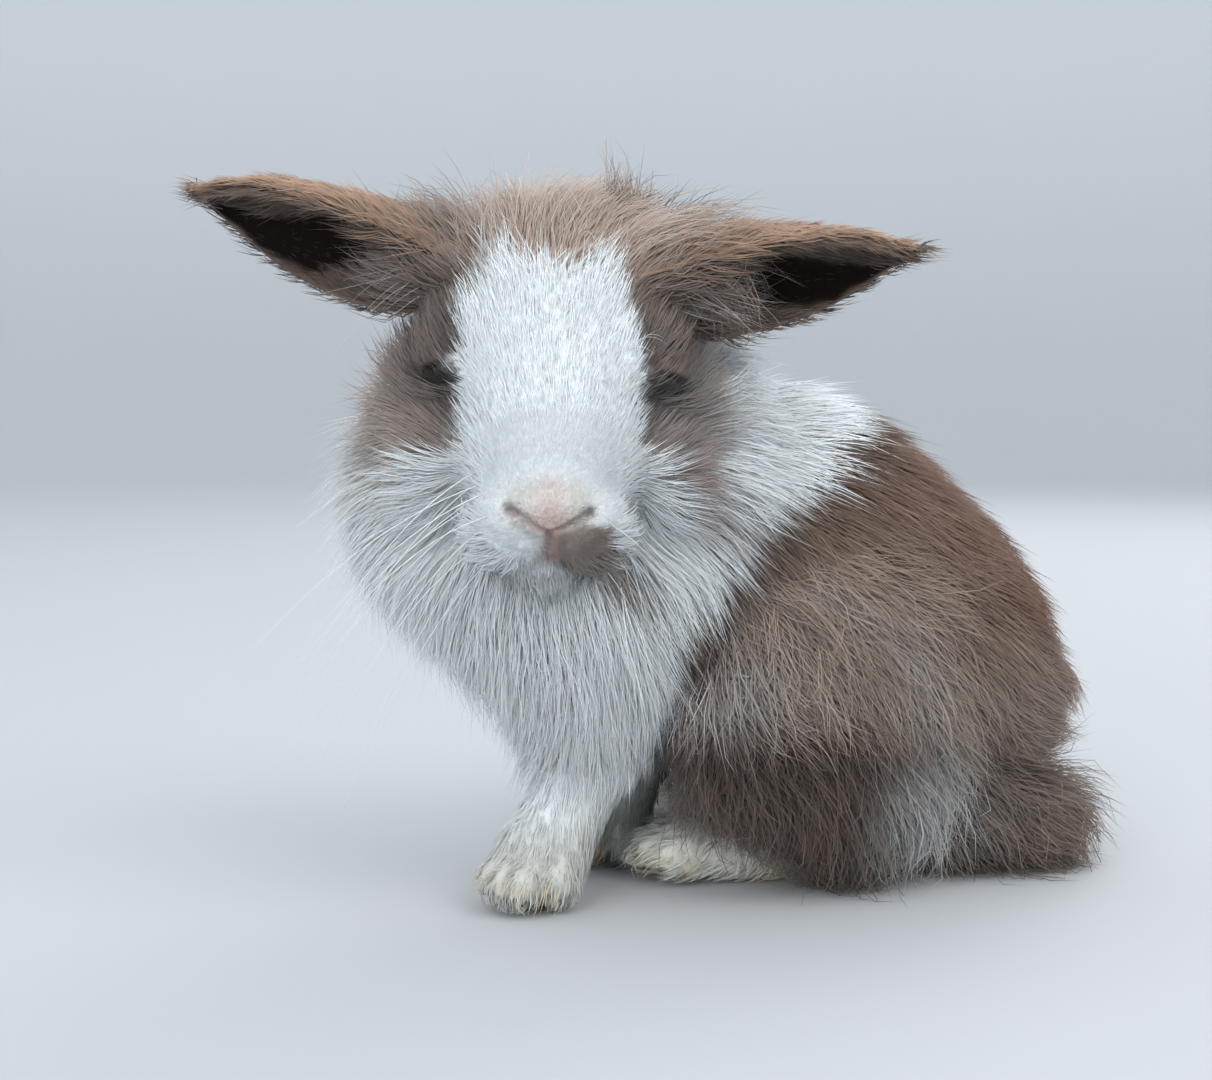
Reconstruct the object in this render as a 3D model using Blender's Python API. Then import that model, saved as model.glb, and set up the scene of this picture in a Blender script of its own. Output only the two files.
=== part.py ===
"""Young lionhead rabbit, life size, sitting with its body turned to its right and its head to the front.

Metres, +Z up. The head faces -Y, the rump lies to +X and +Y, and the floor is at Z = 0.
Every form is placed in one of two frames: the head's, at the midpoint of the eyes, and the body's,
at the floor under the middle of the chest. At the end all nodes are moved so that the origin is
on the floor under the middle of the bounding box.
"""

import math

import bpy
import numpy as np
from mathutils import Matrix, Vector
from mathutils.bvhtree import BVHTree

MM = 0.001
GAP = 0.3 * MM
FLOOR = 0.0

# Head frame: where the midpoint of the eyes is, and how the head is held.
EYE_MIDPOINT = Vector((-10 * MM, -15 * MM, 106 * MM))
HEAD_PITCH = math.radians(42)
HEAD_ROLL = math.radians(3.8)

# Body frame: the point on the floor under the chest, and how far the body is turned from -Y.
CHEST_FOOT = Vector((3 * MM, 16 * MM, 0))
BODY_TURN = math.radians(66)

# Eyes
EYE_RADIUS = 6.4 * MM
EYE_SPREAD = 17.6 * MM

# Ears
EAR_HALF_WIDTH = 11.3 * MM

# Long coat, by the kind of node, in millimetres: how far the core lies inside the tips, how far
# apart the locks' roots stand, and a lock's length, width and thickness.
COAT = {
    "crown": (6.5, 8.5, 17, 8.5, 2.2),
    "neck": (5.0, 10.6, 23, 11.5, 2.4),
    "torso": (4.5, 14.0, 29, 13, 2.3),
    "thigh": (4.0, 12.4, 25, 12, 2.4),
    "tail": (4.0, 9.0, 14, 9, 2.2),
}
# How steeply a lock leaves the core and how steeply its tip lies, as shares of the core's normal
STAND = {
    "crown": (0.8, 0.3),
    "neck": (0.7, 0.22),
    "torso": (0.5, 0.14),
    "thigh": (0.6, 0.18),
    "tail": (0.7, 0.25),
}
ROOT_DEPTH = 3.0 * MM
SEED = 7

# Colours as linear red, green and blue
WHITE_COAT = (0.74, 0.74, 0.71, 1)
BROWN_COAT = (0.19, 0.115, 0.08, 1)
TAN_COAT = (0.33, 0.21, 0.145, 1)
DARK_EYE = (0.012, 0.007, 0.005, 1)


def head_axes():
    """Forward along the nose, to the animal's left, and up over the crown, as unit vectors."""
    forward = Vector((0, -math.cos(HEAD_PITCH), -math.sin(HEAD_PITCH)))
    level_left = Vector((1, 0, 0))
    level_up = Vector((0, -math.sin(HEAD_PITCH), math.cos(HEAD_PITCH)))
    left = level_left * math.cos(HEAD_ROLL) - level_up * math.sin(HEAD_ROLL)
    up = level_up * math.cos(HEAD_ROLL) + level_left * math.sin(HEAD_ROLL)
    return forward, left, up


HEAD_FORWARD, HEAD_LEFT, HEAD_UP = head_axes()
BODY_BACK = Vector((math.sin(BODY_TURN), math.cos(BODY_TURN), 0))
BODY_LEFT = Vector((math.cos(BODY_TURN), -math.sin(BODY_TURN), 0))


def head_point(forward, left, up):
    """A point given in millimetres in the head frame."""
    return EYE_MIDPOINT + (HEAD_FORWARD * forward + HEAD_LEFT * left + HEAD_UP * up) * MM


def body_point(back, left, height):
    """A point given in millimetres behind the chest, to the animal's left and above the floor."""
    return CHEST_FOOT + (BODY_BACK * back + BODY_LEFT * left + Vector((0, 0, height))) * MM


def material(name, colour, roughness):
    made = bpy.data.materials.new(name)
    made.use_nodes = True
    shader = made.node_tree.nodes["Principled BSDF"]
    shader.inputs["Base Color"].default_value = colour
    shader.inputs["Roughness"].default_value = roughness
    shader.inputs["Metallic"].default_value = 0.0
    made.diffuse_color = colour
    return made


def mesh_object(name, points, faces):
    mesh = bpy.data.meshes.new(name)
    mesh.from_pydata([tuple(p) for p in points], [], faces)
    mesh.update()
    made = bpy.data.objects.new(name, mesh)
    bpy.context.scene.collection.objects.link(made)
    return made


def closed_rings(name, rings, first, last):
    """Joins rings of points, given in order round a form, and closes both ends on a single point."""
    count = len(rings[0])
    points = [first] + [p for ring in rings for p in ring] + [last]
    end = len(points) - 1
    faces = []
    for i in range(count):
        j = (i + 1) % count
        faces.append((0, 1 + j, 1 + i))
        faces.append((end, end - count + i, end - count + j))
        for k in range(len(rings) - 1):
            low = 1 + k * count
            faces.append((low + i, low + j, low + count + j))
            faces.append((low + i, low + count + j, low + count + i))
    return mesh_object(name, points, faces)


def spline(stations, count):
    """Rows of numbers at even steps along a smooth curve through the stations, with its tangents."""
    rows = np.array(stations, float)
    steps = np.linalg.norm(np.diff(rows[:, :3], axis=0), axis=1)
    at = np.concatenate([[0], np.cumsum(steps)])
    slopes = np.gradient(rows, at, axis=0)
    where = np.linspace(0, at[-1], count)
    left = np.clip(np.searchsorted(at, where, side="right") - 1, 0, len(at) - 2)
    width = (at[left + 1] - at[left])[:, None]
    t = ((where - at[left])[:, None]) / width
    a, b, sa, sb = rows[left], rows[left + 1], slopes[left] * width, slopes[left + 1] * width
    values = (
        (2 * t**3 - 3 * t**2 + 1) * a
        + (t**3 - 2 * t**2 + t) * sa
        + (3 * t**2 - 2 * t**3) * b
        + (t**3 - t**2) * sb
    )
    tangents = np.gradient(values[:, :3], axis=0)
    return values, tangents / np.linalg.norm(tangents, axis=1)[:, None]


def sweep(name, stations, rings=8, sides=12, start_cap=0.8, end_cap=0.8, across=None, cap=(60, 25)):
    """A closed form with oval rings along a smooth path. A station is (centre, half width, half height).

    The ends are rounded, each standing out by its cap times the mean radius there. Rings stand square
    to the path, and their width lies along 'across', level if it isn't given.
    """
    rows = [(*centre, wide * MM, high * MM) for centre, wide, high in stations]
    values, tangents = spline(rows, rings)
    angles = np.linspace(0, 2 * math.pi, sides, endpoint=False)

    def ring(centre, tangent, wide, high):
        along = Vector(tangent)
        side = (Vector(across) if across else along.cross(Vector((0, 0, 1)))).normalized()
        side = (side - along * side.dot(along)).normalized()
        rise = side.cross(along)
        return [
            Vector(centre) + side * (wide * math.cos(a)) + rise * (high * math.sin(a))
            for a in angles
        ]

    def cap_rings(row, tangent, length, outwards):
        reach = length * (row[3] + row[4]) / 2
        made = []
        for turn in np.radians(cap):
            centre = row[:3] + tangent * (outwards * reach * math.sin(turn))
            made.append(ring(centre, tangent, row[3] * math.cos(turn), row[4] * math.cos(turn)))
        return made, Vector(row[:3] + tangent * (outwards * reach))

    head, first = cap_rings(values[0], tangents[0], start_cap, -1)
    tail, last = cap_rings(values[-1], tangents[-1], end_cap, 1)
    middle = [ring(v[:3], t, v[3], v[4]) for v, t in zip(values, tangents)]
    return outward(closed_rings(name, head + middle + tail[::-1], first, last))


def blob(name, centre, radii, axes, sides=16, rings=9):
    """A closed ovoid. The radii are in millimetres, along the three axes."""
    r = [radius * MM for radius in radii]
    made = []
    for k in range(1, rings + 1):
        turn = math.pi * k / (rings + 1)
        made.append(
            [
                centre
                - axes[0] * (r[0] * math.cos(turn))
                + axes[1] * (r[1] * math.sin(turn) * math.cos(a))
                + axes[2] * (r[2] * math.sin(turn) * math.sin(a))
                for a in np.linspace(0, 2 * math.pi, sides, endpoint=False)
            ]
        )
    first, last = centre - axes[0] * r[0], centre + axes[0] * r[0]
    return outward(closed_rings(name, made, first, last))


def outward(obj):
    """Turns a closed mesh the right way out, judged by its volume."""
    mesh = obj.data
    mesh.calc_loop_triangles()
    volume = 0.0
    for triangle in mesh.loop_triangles:
        a, b, c = (mesh.vertices[i].co for i in triangle.vertices)
        volume += a.dot(b.cross(c))
    if volume < 0:
        mesh.flip_normals()
    return obj


def baked(obj):
    """Puts what the modifiers make into the object's own mesh."""
    graph = bpy.context.evaluated_depsgraph_get()
    mesh = bpy.data.meshes.new_from_object(obj.evaluated_get(graph))
    obj.modifiers.clear()
    obj.data = mesh
    return obj


def closed(mesh):
    """Whether a mesh has faces and each of its edges lies between exactly two of them."""
    uses = [0] * len(mesh.edges)
    for loop in mesh.loops:
        uses[loop.edge_index] += 1
    return bool(uses) and all(count == 2 for count in uses)


def boolean(obj, others, operation):
    """Joins or cuts one mesh with others in one step, and removes the others."""
    group = bpy.data.collections.new("tools")
    for other in others:
        group.objects.link(other)
    modifier = obj.modifiers.new(operation, "BOOLEAN")
    modifier.operation = operation
    modifier.operand_type = "COLLECTION"
    modifier.collection = group
    for solver in ("EXACT", "MANIFOLD"):
        modifier.solver = solver
        bpy.context.view_layer.update()
        graph = bpy.context.evaluated_depsgraph_get()
        made = bpy.data.meshes.new_from_object(obj.evaluated_get(graph))
        if closed(made):
            break
    obj.modifiers.clear()
    obj.data = made
    for other in others:
        bpy.data.objects.remove(other)
    bpy.data.collections.remove(group)
    return obj


def fused(name, pieces, voxel, smoothing, triangles):
    """One smooth closed form from overlapping pieces, with about the stated number of triangles."""
    first = pieces[0]
    with bpy.context.temp_override(active_object=first, selected_editable_objects=pieces):
        bpy.ops.object.join()
    first.name = name
    remesh = first.modifiers.new("one surface", "REMESH")
    remesh.mode = "VOXEL"
    remesh.voxel_size = voxel * MM
    soften = first.modifiers.new("soften", "SMOOTH")
    soften.factor = 0.5
    soften.iterations = smoothing
    bpy.context.view_layer.update()
    baked(first)
    first.data.calc_loop_triangles()
    thin = first.modifiers.new("fewer faces", "DECIMATE")
    thin.ratio = min(1.0, triangles / len(first.data.loop_triangles))
    bpy.context.view_layer.update()
    return baked(first)


def copied(obj):
    copy = obj.copy()
    copy.data = obj.data.copy()
    bpy.context.scene.collection.objects.link(copy)
    return copy


def offset(obj, distance):
    """Moves a closed form's surface out along its normals, or in if the distance is negative."""
    for vertex, normal in zip(obj.data.vertices, [v.normal.copy() for v in obj.data.vertices]):
        vertex.co += normal * distance
    return obj


def cutter(obj):
    """A copy of a closed form with its surface moved out, for cutting the gap beside it."""
    return offset(copied(obj), GAP)


def largest_piece(obj):
    """Keeps the closed surface with the largest volume, and drops loose scraps and sealed hollows."""
    mesh = obj.data
    neighbours = list(range(len(mesh.vertices)))

    def root(i):
        while neighbours[i] != i:
            neighbours[i] = neighbours[neighbours[i]]
            i = neighbours[i]
        return i

    for edge in mesh.edges:
        a, b = (root(i) for i in edge.vertices)
        neighbours[a] = b
    volumes = {}
    mesh.calc_loop_triangles()
    for triangle in mesh.loop_triangles:
        a, b, c = (mesh.vertices[i].co for i in triangle.vertices)
        key = root(triangle.vertices[0])
        volumes[key] = volumes.get(key, 0.0) + a.dot(b.cross(c))
    best = max(volumes, key=volumes.get)
    keep = [i for i in range(len(mesh.vertices)) if root(i) == best]
    index = {old: new for new, old in enumerate(keep)}
    faces = [
        tuple(index[i] for i in polygon.vertices)
        for polygon in mesh.polygons
        if polygon.vertices[0] in index
    ]
    points = [mesh.vertices[i].co.copy() for i in keep]
    fresh = bpy.data.meshes.new(obj.name)
    fresh.from_pydata(points, [], faces)
    fresh.update()
    obj.data = fresh
    return obj


def floor_block():
    """A block under the floor that cuts the flats on which the animal rests."""
    size, depth = 0.6, 0.05
    low = FLOOR - depth
    corners = [(x, y, z) for z in (low, FLOOR) for y in (-size, size) for x in (-size, size)]
    faces = [(0, 2, 3, 1), (4, 5, 7, 6), (0, 1, 5, 4), (2, 6, 7, 3), (0, 4, 6, 2), (1, 3, 7, 5)]
    return mesh_object("floor_block", corners, faces)


HEAD_FRAME = (HEAD_FORWARD, HEAD_LEFT, HEAD_UP)
BODY_FRAME = (BODY_BACK, BODY_LEFT, Vector((0, 0, 1)))


def eye(name, side):
    return blob(name, head_point(0, side * EYE_SPREAD / MM, 0), [EYE_RADIUS / MM] * 3, HEAD_FRAME)


def head_form():
    """Cranium, tapering face, whisker pads, chin and deep cheeks, as one smooth form."""
    face = [
        (head_point(-8, 0, -5), 23, 20),
        (head_point(6, 0, -6), 20, 19),
        (head_point(18, 0, -8), 17, 18),
        (head_point(27, 0, -9.5), 14, 15.5),
        (head_point(32.5, 0, -9.5), 11, 12),
    ]
    pieces = [
        blob("cranium", head_point(-15, 0, 1.5), (22, 25, 18), HEAD_FRAME),
        sweep("face", face, across=HEAD_LEFT, end_cap=0.35),
        blob("nose", head_point(34, 0, -2.5), (4.5, 7, 4.5), HEAD_FRAME),
        blob("chin", head_point(27.5, 0, -19.5), (8, 8.5, 6.5), HEAD_FRAME),
    ]
    for side in (1, -1):
        pieces.append(blob("pad", head_point(31, side * 7, -9.5), (8, 8.5, 9), HEAD_FRAME))
        pieces.append(blob("jowl", head_point(-3, side * 16, -13), (19, 15.5, 17), HEAD_FRAME))
        pieces.append(blob("brow", head_point(-3, side * 15.5, 4), (10, 8, 8), HEAD_FRAME))
    return fused("head", pieces, 1.5, 3, 1150)


def lid_form(side):
    """The two lids of one eye, a thin ball round the eye."""
    centre = head_point(0, side * EYE_SPREAD / MM, 0)
    return blob("lids", centre, [EYE_RADIUS / MM + 1.4] * 3, HEAD_FRAME, 12, 7)


def lid_slit(side):
    """What opens the lids: a narrow lens across the eye, its outer end the lower one."""
    centre = head_point(0, side * EYE_SPREAD / MM, 0)
    outward_axis = (HEAD_FORWARD * 0.38 + HEAD_LEFT * (side * 0.9) + HEAD_UP * 0.22).normalized()
    along = Vector((side * 0.55, 0.75, -0.35))
    along = (along - outward_axis * along.dot(outward_axis)).normalized()
    across = outward_axis.cross(along)
    middle = centre + outward_axis * (EYE_RADIUS + 1 * MM)
    return blob("slit", middle, (5.2, 1.7, 4), (along, across, outward_axis), 12, 5)


def groove(ground, points, radius):
    """A thin tube along the surface, sunk by half, for cutting a line such as the mouth's."""
    laid = [ground.find_nearest(head_point(*p))[0] for p in points]
    return sweep("groove", [(p, radius, radius) for p in laid], 6, 5, cap=(40,))


def face_grooves(ground):
    """Nostrils, the cleft of the upper lip and the line of the mouth."""
    made = [groove(ground, [(37.5, 0, -4), (37, 0, -9), (35.5, 0, -14.5)], 0.6)]
    for side in (1, -1):
        nostril = [(37, 0.6 * side, -4.6), (36, 4 * side, -3.6), (33.5, 8 * side, -2.2)]
        mouth = [(35.5, 0.3 * side, -14), (33, 5 * side, -17.5), (28, 9.5 * side, -20), (22, 12 * side, -20)]
        made.append(groove(ground, nostril, 0.9))
        made.append(groove(ground, mouth, 0.8))
    return made


def torso_form():
    trunk = [
        (body_point(-10, 2, 58), 24, 27),
        (body_point(10, 0, 64), 30, 38),
        (body_point(34, 0, 63), 35, 43),
        (body_point(54, 2, 55), 36, 38),
        (body_point(72, 6, 44), 34, 31),
        (body_point(84, 9, 34), 28, 23),
    ]
    return sweep("torso", trunk, rings=10, sides=20, across=BODY_LEFT, end_cap=0.5, start_cap=0.7)


def neck_form():
    """The mane, hanging round the neck and over the chest like a bib."""
    bib = [
        (Vector((-9, 16, 108)) * MM, 29, 25),
        (Vector((-7, 14, 96)) * MM, 38, 31),
        (Vector((-11, 8, 80)) * MM, 46, 33),
        (Vector((-12, 5, 65)) * MM, 42, 30),
        (Vector((-7, 3, 50)) * MM, 28, 24),
        (Vector((-5, 3, 38)) * MM, 18, 17),
    ]
    return sweep("neck", bib, rings=8, sides=20, across=(1, 0, 0), start_cap=0.4, end_cap=0.5)


def thigh_form(name, back, left):
    return blob(name, body_point(back, left, 40), (36, 21, 39), BODY_FRAME)


def hind_foot_form(name, heel, toes):
    """The long sole from heel to toes, a little wider at the toes."""
    heel, toes = Vector(heel) * MM, Vector(toes) * MM
    foot = [
        (heel, 8, 9.5),
        (heel.lerp(toes, 0.35), 8.5, 9),
        (heel.lerp(toes, 0.75), 10, 8.2),
        (toes, 9.5, 7.2),
    ]
    return sweep(name, foot, rings=6)


def foreleg_form(name, elbow, wrist, paw):
    elbow, wrist, paw = (Vector(p) * MM for p in (elbow, wrist, paw))
    leg = [
        (elbow, 12, 12),
        (elbow.lerp(wrist, 0.55), 11, 11),
        (wrist, 9.5, 9.5),
        (wrist.lerp(paw, 0.6), 10.5, 8.5),
        (paw, 10.5, 6.8),
    ]
    return sweep(name, leg, rings=8, across=(1, 0, 0))


def toes_form(centre, heading, spread, radii):
    """Four toes side by side at the front of a paw, the outer two set back."""
    heading = Vector(heading).normalized()
    side = Vector((-heading.y, heading.x, 0))
    made = []
    for place in (-1.5, -0.5, 0.5, 1.5):
        back = 0.9 * (abs(place) - 0.5)
        at = centre + side * (place * spread * MM) - heading * (back * spread * MM)
        made.append(blob("toe", at, radii, (heading, side, Vector((0, 0, 1))), 8, 4))
    return made


def ear_form(name, root, tip, opening):
    """A leaf-shaped cup: rings of a curled wall from the root to the tip.

    Across the ear the wall is an arc that closes up towards the root; its thickness thins to the rim.
    """
    root, tip = Vector(root), Vector(tip)
    along = (tip - root).normalized()
    inside = (Vector(opening) - along * Vector(opening).dot(along)).normalized()
    chord = along.cross(inside)
    length = (tip - root).length
    rows, columns = 10, 8
    wall = 1.1 * MM
    widest = 0.42
    sheet = []
    for i in range(rows):
        t = i / (rows - 1)
        taper = max(0.0, t - widest) / (1 - widest)
        fill = 1 - 0.5 * (max(0.0, widest - t) / widest) ** 2
        half = max(EAR_HALF_WIDTH * fill * (1 - taper**2.4), 1.2 * MM)
        curl = math.radians(118 - 48 * t)
        centre = root + along * (length * t)
        row = []
        for j in range(columns):
            turn = curl * (2 * j / (columns - 1) - 1)
            reach = half / max(math.sin(min(curl, math.pi / 2)), 0.1)
            offset = chord * (reach * math.sin(turn)) + inside * (reach * (0.45 - math.cos(turn)))
            normal = chord * math.sin(turn) - inside * math.cos(turn)
            row.append((centre + offset, normal))
        sheet.append(row)
    rings = []
    for row in sheet:
        outer = [p + n * wall for p, n in row]
        inner = [p - n * wall for p, n in row[::-1]]
        rings.append(outer + inner)
    start = sum((p for p in rings[0]), Vector()) / len(rings[0]) - along * (2 * MM)
    end = sum((p for p in rings[-1]), Vector()) / len(rings[-1]) + along * (2 * MM)
    return outward(closed_rings(name, rings, start, end))


def tail_form():
    return blob("tail", body_point(90, 22, 12.5), (13, 12, 12), BODY_FRAME, 12, 7)


def crown_form():
    """The wool that stands up between the ears."""
    return blob("crown", head_point(-27, 0, 6), (24, 28, 24), HEAD_FRAME, 14, 8)


HIND_FEET = {
    "hind_foot_left": ((62, 24, 8.5), (16, 15, 6.6)),
    "hind_foot_right": ((66, 74, 8.5), (18, 61, 6.6)),
}
FORELEGS = {
    "foreleg_left": ((3, 9, 44), (-9, -1, 17), (-14.5, -7, 6.2)),
    "foreleg_right": ((11, 38, 44), (3, 34, 17), (-1, 31, 6.2)),
}
THIGHS = {"thigh_left": (38, 22), "thigh_right": (48, -22)}
EARS = {
    "ear_left": (Vector((5, -8, 124)) * MM, Vector((60, -4, 130)) * MM),
    "ear_right": (Vector((-26, -8, 126)) * MM, Vector((-80, -4, 142)) * MM),
}
PAW_HEADINGS = {"foreleg_left": (-0.4, -0.92, 0), "foreleg_right": (-0.5, -0.87, 0)}
EAR_OPENING = Vector((0, -0.75, -0.66))


def clear_scene():
    for obj in list(bpy.data.objects):
        bpy.data.objects.remove(obj)


def forms():
    """Every node's closed pieces, its own form first. Where two nodes meet, the later one gives way."""
    made = {}
    made["eye_left"] = [eye("eye_left", 1)]
    made["eye_right"] = [eye("eye_right", -1)]
    made["head"] = [head_form(), lid_form(1), lid_form(-1)]
    for name, (root, tip) in EARS.items():
        made[name] = [ear_form(name, root, tip, EAR_OPENING)]
    made["crown"] = [crown_form()]
    for name, points in FORELEGS.items():
        paw = Vector(points[2]) * MM
        heading = PAW_HEADINGS[name]
        toes = toes_form(paw + Vector(heading) * (6.5 * MM), heading, 4.9, (6, 3.3, 4.8))
        made[name] = [foreleg_form(name, *points)] + toes
    for name, (heel, toe) in HIND_FEET.items():
        heading = (Vector(toe) - Vector(heel)) * Vector((1, 1, 0))
        centre = Vector(toe) * MM + heading.normalized() * (4.5 * MM)
        made[name] = [hind_foot_form(name, heel, toe)] + toes_form(centre, heading, 4.8, (8, 3.3, 5.6))
    made["neck"] = [neck_form()]
    for name, (back, left) in THIGHS.items():
        made[name] = [thigh_form(name, back, left)]
    made["torso"] = [torso_form()]
    made["tail"] = [tail_form()]
    return made


def tree_of(obj):
    return BVHTree.FromPolygons([v.co for v in obj.data.vertices], [f.vertices for f in obj.data.polygons])


def height_over(tree, point):
    """How far a point is outside a closed form, less than zero inside it, and the way out."""
    hit, _, _, distance = tree.find_nearest(point)
    if distance > 30 * MM:
        return distance, Vector((0, 0, 1))
    ray, start, crossings = Vector((0.37, 0.21, 0.905)), point.copy(), 0
    while True:
        struck, _, _, _ = tree.ray_cast(start, ray)
        if struck is None:
            break
        crossings += 1
        start = struck + ray * 1e-6
    if crossings % 2:
        return -distance, (hit - point).normalized()
    return distance, (point - hit).normalized()


def spread_roots(obj, spacing, draw):
    """Points on a form's surface with their normals, evenly spread and never nearer than the spacing."""
    mesh = obj.data
    mesh.calc_loop_triangles()
    corners = np.array([[mesh.vertices[i].co for i in t.vertices] for t in mesh.loop_triangles])
    normals = np.array([t.normal for t in mesh.loop_triangles])
    areas = np.array([t.area for t in mesh.loop_triangles])
    count = int(areas.sum() / spacing**2 * 12)
    picks = draw.choice(len(areas), count, p=areas / areas.sum())
    mix = draw.random((count, 2))
    mix = np.where(mix.sum(axis=1, keepdims=True) > 1, 1 - mix, mix)
    a, b, c = (corners[picks, k] for k in range(3))
    points = a + (b - a) * mix[:, :1] + (c - a) * mix[:, 1:]
    kept = []
    for index in range(count):
        here = points[index]
        if all(np.linalg.norm(here - points[other]) > spacing for other in kept):
            kept.append(index)
    return [(Vector(points[k]), Vector(normals[picks[k]])) for k in kept]


def lie(kind, point):
    """Which way the coat runs at a point."""
    down = Vector((0, 0, -1))
    if kind == "crown":
        outwards = point - head_point(-20, 0, 2)
        return outwards.normalized() + HEAD_LEFT * (outwards.dot(HEAD_LEFT) / (20 * MM)) - down * 0.5
    if kind == "neck":
        from_nose = (point - head_point(20, 0, 4)).normalized()
        return from_nose + down * 0.8
    if kind == "torso":
        return BODY_BACK + down * 0.4
    if kind == "thigh":
        return BODY_BACK * 0.55 + down * 0.9
    return BODY_BACK * 0.6 - BODY_LEFT * 0.2 + down * 0.35


def section(half, thick, grow):
    """A lock's section, as (across, up) pairs: flat under and ridged above, or that grown all round."""
    low, high = -0.35 * thick, 0.65 * thick
    if not grow:
        return [(-half, low), (half, low), (0, high)]
    out = half + grow
    return [(-out, low - grow), (out, low - grow), (out, low + grow), (0, high + 1.1 * grow), (-out, low + grow)]


def lock(path, normals, width, thickness, bow, grow=0.0):
    """One tapered lock along a bending path from its root to its tip."""
    rings = []
    count = len(path)
    for k in range(count - 1):
        t = k / (count - 1)
        along = (path[k + 1] - path[max(k - 1, 0)]).normalized()
        side = along.cross(normals[k]).normalized()
        rise = side.cross(along)
        half = width / 2 * (0.72 + 0.85 * t - 1.4 * t * t)
        centre = path[k] + side * (bow * math.sin(math.pi * t))
        outline = section(half, thickness * (1 - 0.7 * t), grow)
        rings.append([centre + side * across + rise * up for across, up in outline])
    start = (path[1] - path[0]).normalized() * (0.5 * MM + grow)
    end = (path[-1] - path[-2]).normalized() * (1.5 * grow)
    return outward(closed_rings("lock", rings, path[0] - start, path[-1] + end))


def coat_of(name, core, firm, giving, placed, draw):
    """The locks of one node, laid over the animal and kept clear of the other nodes' forms.

    A root stands outside the firm nodes, which keep their form, and may be a little way inside the
    giving ones, which are cut round this node.
    """
    kind = name.split("_")[0]
    _, spacing, length, width, thickness = COAT[kind]
    stand_root, stand_tip = STAND[kind]
    own = tree_of(core)
    clearance = (thickness / 2 + 1.0) * MM
    steps = 4 if kind in ("crown", "neck") else 3
    locks = []
    for root, normal in spread_roots(core, spacing * MM, draw):
        if any(height_over(tree, root)[0] < 1 * MM for tree in firm):
            continue
        if any(height_over(tree, root)[0] < -3 * MM for tree in giving):
            continue
        if not grows_at(kind, root, normal):
            continue
        reach = length * MM * draw.uniform(0.82, 1.15)
        wide = width * MM * draw.uniform(0.8, 1.15)
        turn = Matrix.Rotation(draw.uniform(-0.35, 0.35), 3, normal)
        path = [root - normal * ROOT_DEPTH]
        normals = [normal.copy()]
        here = root
        step = reach / steps
        for k in range(1, steps + 1):
            t = k / steps
            _, up, _, _ = own.find_nearest(here)
            flow = turn @ lie(kind, here)
            flow = (flow - up * flow.dot(up)).normalized()
            stand = stand_root + (stand_tip - stand_root) * t**0.6
            here = here + (flow * (1 - stand) + up * stand).normalized() * step
            for tree in firm + giving:
                height, way = height_over(tree, here)
                if height < clearance:
                    here = here + way * (clearance - height)
            here.z = max(here.z, FLOOR + thickness * MM)
            path.append(here.copy())
            normals.append(up)
        hops = [(b - a).length for a, b in zip(path[1:], path[2:])]
        if max(hops) > 1.9 * step:
            continue
        line = np.array(path[2:])
        if any(np.linalg.norm(line - spot, axis=1).min() < 2.2 * MM for spot in placed):
            continue
        shape = (path, normals, wide, thickness * MM, draw.uniform(-1.2, 1.2) * MM)
        locks.append((lock(*shape), lock(*shape, grow=GAP), line))
    return locks


def grows_at(kind, root, normal):
    """Where a node's long coat grows."""
    if kind == "crown":
        return (root - head_point(-10, 0, 0)).dot(HEAD_FORWARD) < 0
    if kind == "neck":
        return True
    return normal.z > -0.75


def boxes_near(a, b):
    """Whether the boxes round two meshes come within a few gaps of each other."""
    boxes = []
    for obj in (a, b):
        points = np.array([v.co for v in obj.data.vertices])
        boxes.append((points.min(axis=0) - 2 * GAP, points.max(axis=0) + 2 * GAP))
    (low_a, high_a), (low_b, high_b) = boxes
    return bool((low_a < high_b).all() and (low_b < high_a).all())


def grow_coats(pieces):
    """Draws in the core of each long-haired node and adds its locks, the first nodes' first.

    It returns, for each node, what cuts the gap round all its pieces.
    """
    draw = np.random.default_rng(SEED)
    for name, made in pieces.items():
        kind = name.split("_")[0]
        if kind in COAT:
            offset(made[0], -COAT[kind][0] * MM)
    trees = {name: tree_of(made[0]) for name, made in pieces.items()}
    cutters = {name: [cutter(piece) for piece in made] for name, made in pieces.items()}
    placed = []
    for name, made in pieces.items():
        if name.split("_")[0] in COAT:
            order = list(trees)
            firm = [trees[other] for other in order[: order.index(name)]]
            giving = [trees[other] for other in order[order.index(name) + 1 :]]
            grown = coat_of(name, made[0], firm, giving, placed, draw)
            made += [solid for solid, _, _ in grown]
            cutters[name] += [wider for _, wider, _ in grown]
            placed += [spot for _, _, line in grown for spot in line[1:]]
    return cutters


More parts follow.
